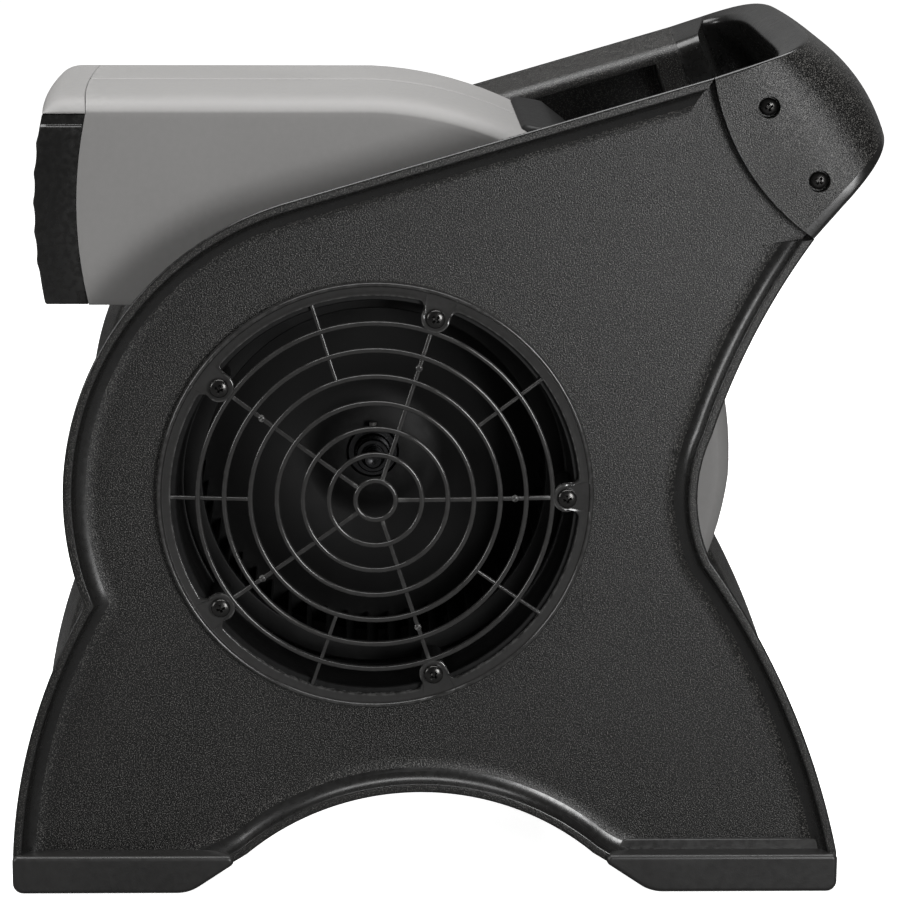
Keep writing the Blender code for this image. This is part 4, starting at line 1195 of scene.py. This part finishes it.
def build_knob(seat, outward):
    """Fluted speed knob with a white pointer."""
    place = facing(seat, outward)
    shape = Shape()
    count = 120
    levels = [(-0.0008, 0.0165, 0.0), (0.0004, 0.0170, 0.0), (0.0042, 0.0168, 0.0), (0.0056, 0.0160, 0.2)]
    levels += [(0.0068, 0.0143, 1.0), (0.0160, 0.0130, 1.0), (0.0172, 0.0124, 0.7)]
    levels += [(0.0178, 0.0112, 0.2), (0.0180, 0.0095, 0)]
    rows = []
    for along, radius, flute in levels:
        row = []
        for i in range(count):
            angle = math.tau * i / count
            cut = flute * 0.0010 * (0.5 - 0.5 * math.cos(angle * 12))
            row.append(place @ Vector((along, *polar(radius - cut, angle))))
        rows.append(row)
    shape.loft(rows)
    shape.build("knob_fluted", [SATIN], "speed_knob", "speed_knob", sharp=50)
    pointer = Shape()
    corners = [(0.0030, -0.0008), (0.0108, -0.0008), (0.0108, 0.0008), (0.0030, 0.0008)]
    corners = rounded(corners, [0.0006] * 4, 4)
    turn = Matrix.Rotation(math.radians(112), 2)
    rows = []
    for along in (0.0174, 0.0183):
        rows.append([place @ Vector((along, *(turn @ Vector(c)))) for c in corners])
    pointer.loft(rows)
    pointer.build("knob_pointer", [MARK], "speed_knob", None)


def build_button(seat, outward):
    """Round reset button with a dished top."""
    profile = [(-0.0005, 0), (-0.0005, 0.0048), (0.0048, 0.0050), (0.0058, 0.0046)]
    profile += [(0.0062, 0.0038), (0.0060, 0.0028), (0.0056, 0.0014), (0.0055, 0)]
    shape = Shape()
    shape.lathe(profile, 48, facing(seat, outward))
    shape.build("button_cap", [RED], "reset_button", "reset_button", sharp=45)


# ---------------------------------------------------------------- make everything
build_frame("side_frame_left", 1)
build_frame("side_frame_right", -1)
build_handle()
build_shell("housing_left", 1)
build_shell("housing_right", -1)
build_visor()
build_outlet_grille()
for word, way in (("left", 1), ("right", -1)):
    build_intake_grille(f"intake_grille_{word}", way)
    build_collar(f"inlet_collar_{word}", way)
build_wheel()
build_tubes()
build_pads()
build_panel()

KEPT = {
    "wiring_box": DARK,
    "rotary_switch": SOCKET,
    "circuit_breaker": SOCKET,
    "run_capacitor": PAINT,
    "motor": PAINT,
    "motor_bracket": STEEL,
    "hub_set_screw": OXIDE,
}
for label, material in KEPT.items():
    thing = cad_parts[label]
    for place in thing.material_slots:
        place.material = material


# ---------------------------------------------------------------- floor, light and camera
def paper():
    """Pale paper, which the camera sees near white and the other rays see dim."""
    material = finish(
        "paper", (0.90, 0.90, 0.895), 0.85, (300.0, 0.0001, 0.1), mottle=0.01
    )
    tree = material.node_tree
    shader = tree.nodes["Principled BSDF"]
    shader.inputs["Emission Color"].default_value = (1, 1, 1, 1)
    shader.inputs["Emission Strength"].default_value = 0.95
    dim = node(tree, "ShaderNodeBsdfDiffuse", {"Color": (0.16, 0.16, 0.16, 1)})
    seen = node(tree, "ShaderNodeLightPath").outputs["Is Camera Ray"]
    mixed = node(tree, "ShaderNodeMixShader", {0: seen, 1: dim.outputs[0], 2: shader.outputs[0]})
    tree.links.new(mixed.outputs[0], tree.nodes["Material Output"].inputs["Surface"])
    return material


def build_floor():
    """A wide level floor."""
    shape = Shape()
    shape.loft([[(x, -5.0, FLOOR), (x, 5.0, FLOOR)] for x in (-6.0, 2.5)], caps=False, closed=False)
    shape.build("floor", [paper()])


def add_light(name, place, target, size, power):
    data = bpy.data.lights.new(name, "AREA")
    data.shape = "RECTANGLE"
    data.size, data.size_y = size
    data.energy = power
    lamp = bpy.data.objects.new(name, data)
    lamp.location = place
    lamp.rotation_mode = "QUATERNION"
    lamp.rotation_quaternion = (Vector(target) - Vector(place)).to_track_quat("-Z", "Y")
    lamp.visible_camera = False
    bpy.context.scene.collection.objects.link(lamp)


def light_world():
    world = bpy.data.worlds.new("studio")
    world.use_nodes = True
    bpy.context.scene.world = world
    tree = world.node_tree
    tree.nodes["Background"].inputs["Color"].default_value = (1, 1, 1, 1)
    tree.nodes["Background"].inputs["Strength"].default_value = 0.08
    bright = node(tree, "ShaderNodeBackground", {"Color": (1, 1, 1, 1), "Strength": 1.0})
    seen = node(tree, "ShaderNodeLightPath").outputs["Is Camera Ray"]
    inputs = {0: seen, 1: tree.nodes["Background"].outputs[0], 2: bright.outputs[0]}
    mixed = node(tree, "ShaderNodeMixShader", inputs)
    tree.links.new(mixed.outputs[0], tree.nodes["World Output"].inputs["Surface"])


def add_camera():
    """Long lens, a little above, square to the machine's left side."""
    focal = 141.6
    per_width = focal / 36
    pitch, yaw, roll, shift = math.radians(12.8), math.radians(1.14), math.radians(0.2), 0.06
    forward = Vector((-math.cos(yaw) * math.cos(pitch), math.sin(yaw) * math.cos(pitch), -math.sin(pitch)))
    right = forward.cross(Vector((0, 0, 1))).normalized()
    up = right.cross(forward)
    # the middle of the near grille sits a little left of and below the middle of the view
    across, above, distance = -0.0826 + shift, -0.0556, 2.0886
    aim = AXIS + Vector((FRAME_OUT, 0, 0))
    place = aim - distance * (forward + (right * across + up * above) / per_width)
    data = bpy.data.cameras.new("camera")
    data.sensor_width = 36
    data.lens = focal
    data.shift_x = shift
    camera = bpy.data.objects.new("camera", data)
    columns = Matrix((right, up, -forward)).transposed().to_4x4()
    camera.matrix_world = Matrix.Translation(place) @ columns @ Matrix.Rotation(roll, 4, "Z")
    bpy.context.scene.collection.objects.link(camera)
    bpy.context.scene.camera = camera


build_floor()
light_world()
add_light("left_box", (0.9, -1.9, 0.9), (0, 0, 0.2), (0.6, 0.9), 15)
add_light("right_box", (1.85, 0.85, 0.50), (0, 0, 0.25), (0.5, 0.7), 24)
add_light("top_box", (0.0, 0.0, 2.4), (0, 0, 0.2), (1.8, 2.6), 98)
add_light("back_box", (-2.3, 0.0, 0.9), (0, 0, 0.3), (4.0, 1.6), 3)
bpy.context.scene.view_settings.view_transform = "Standard"
add_camera()
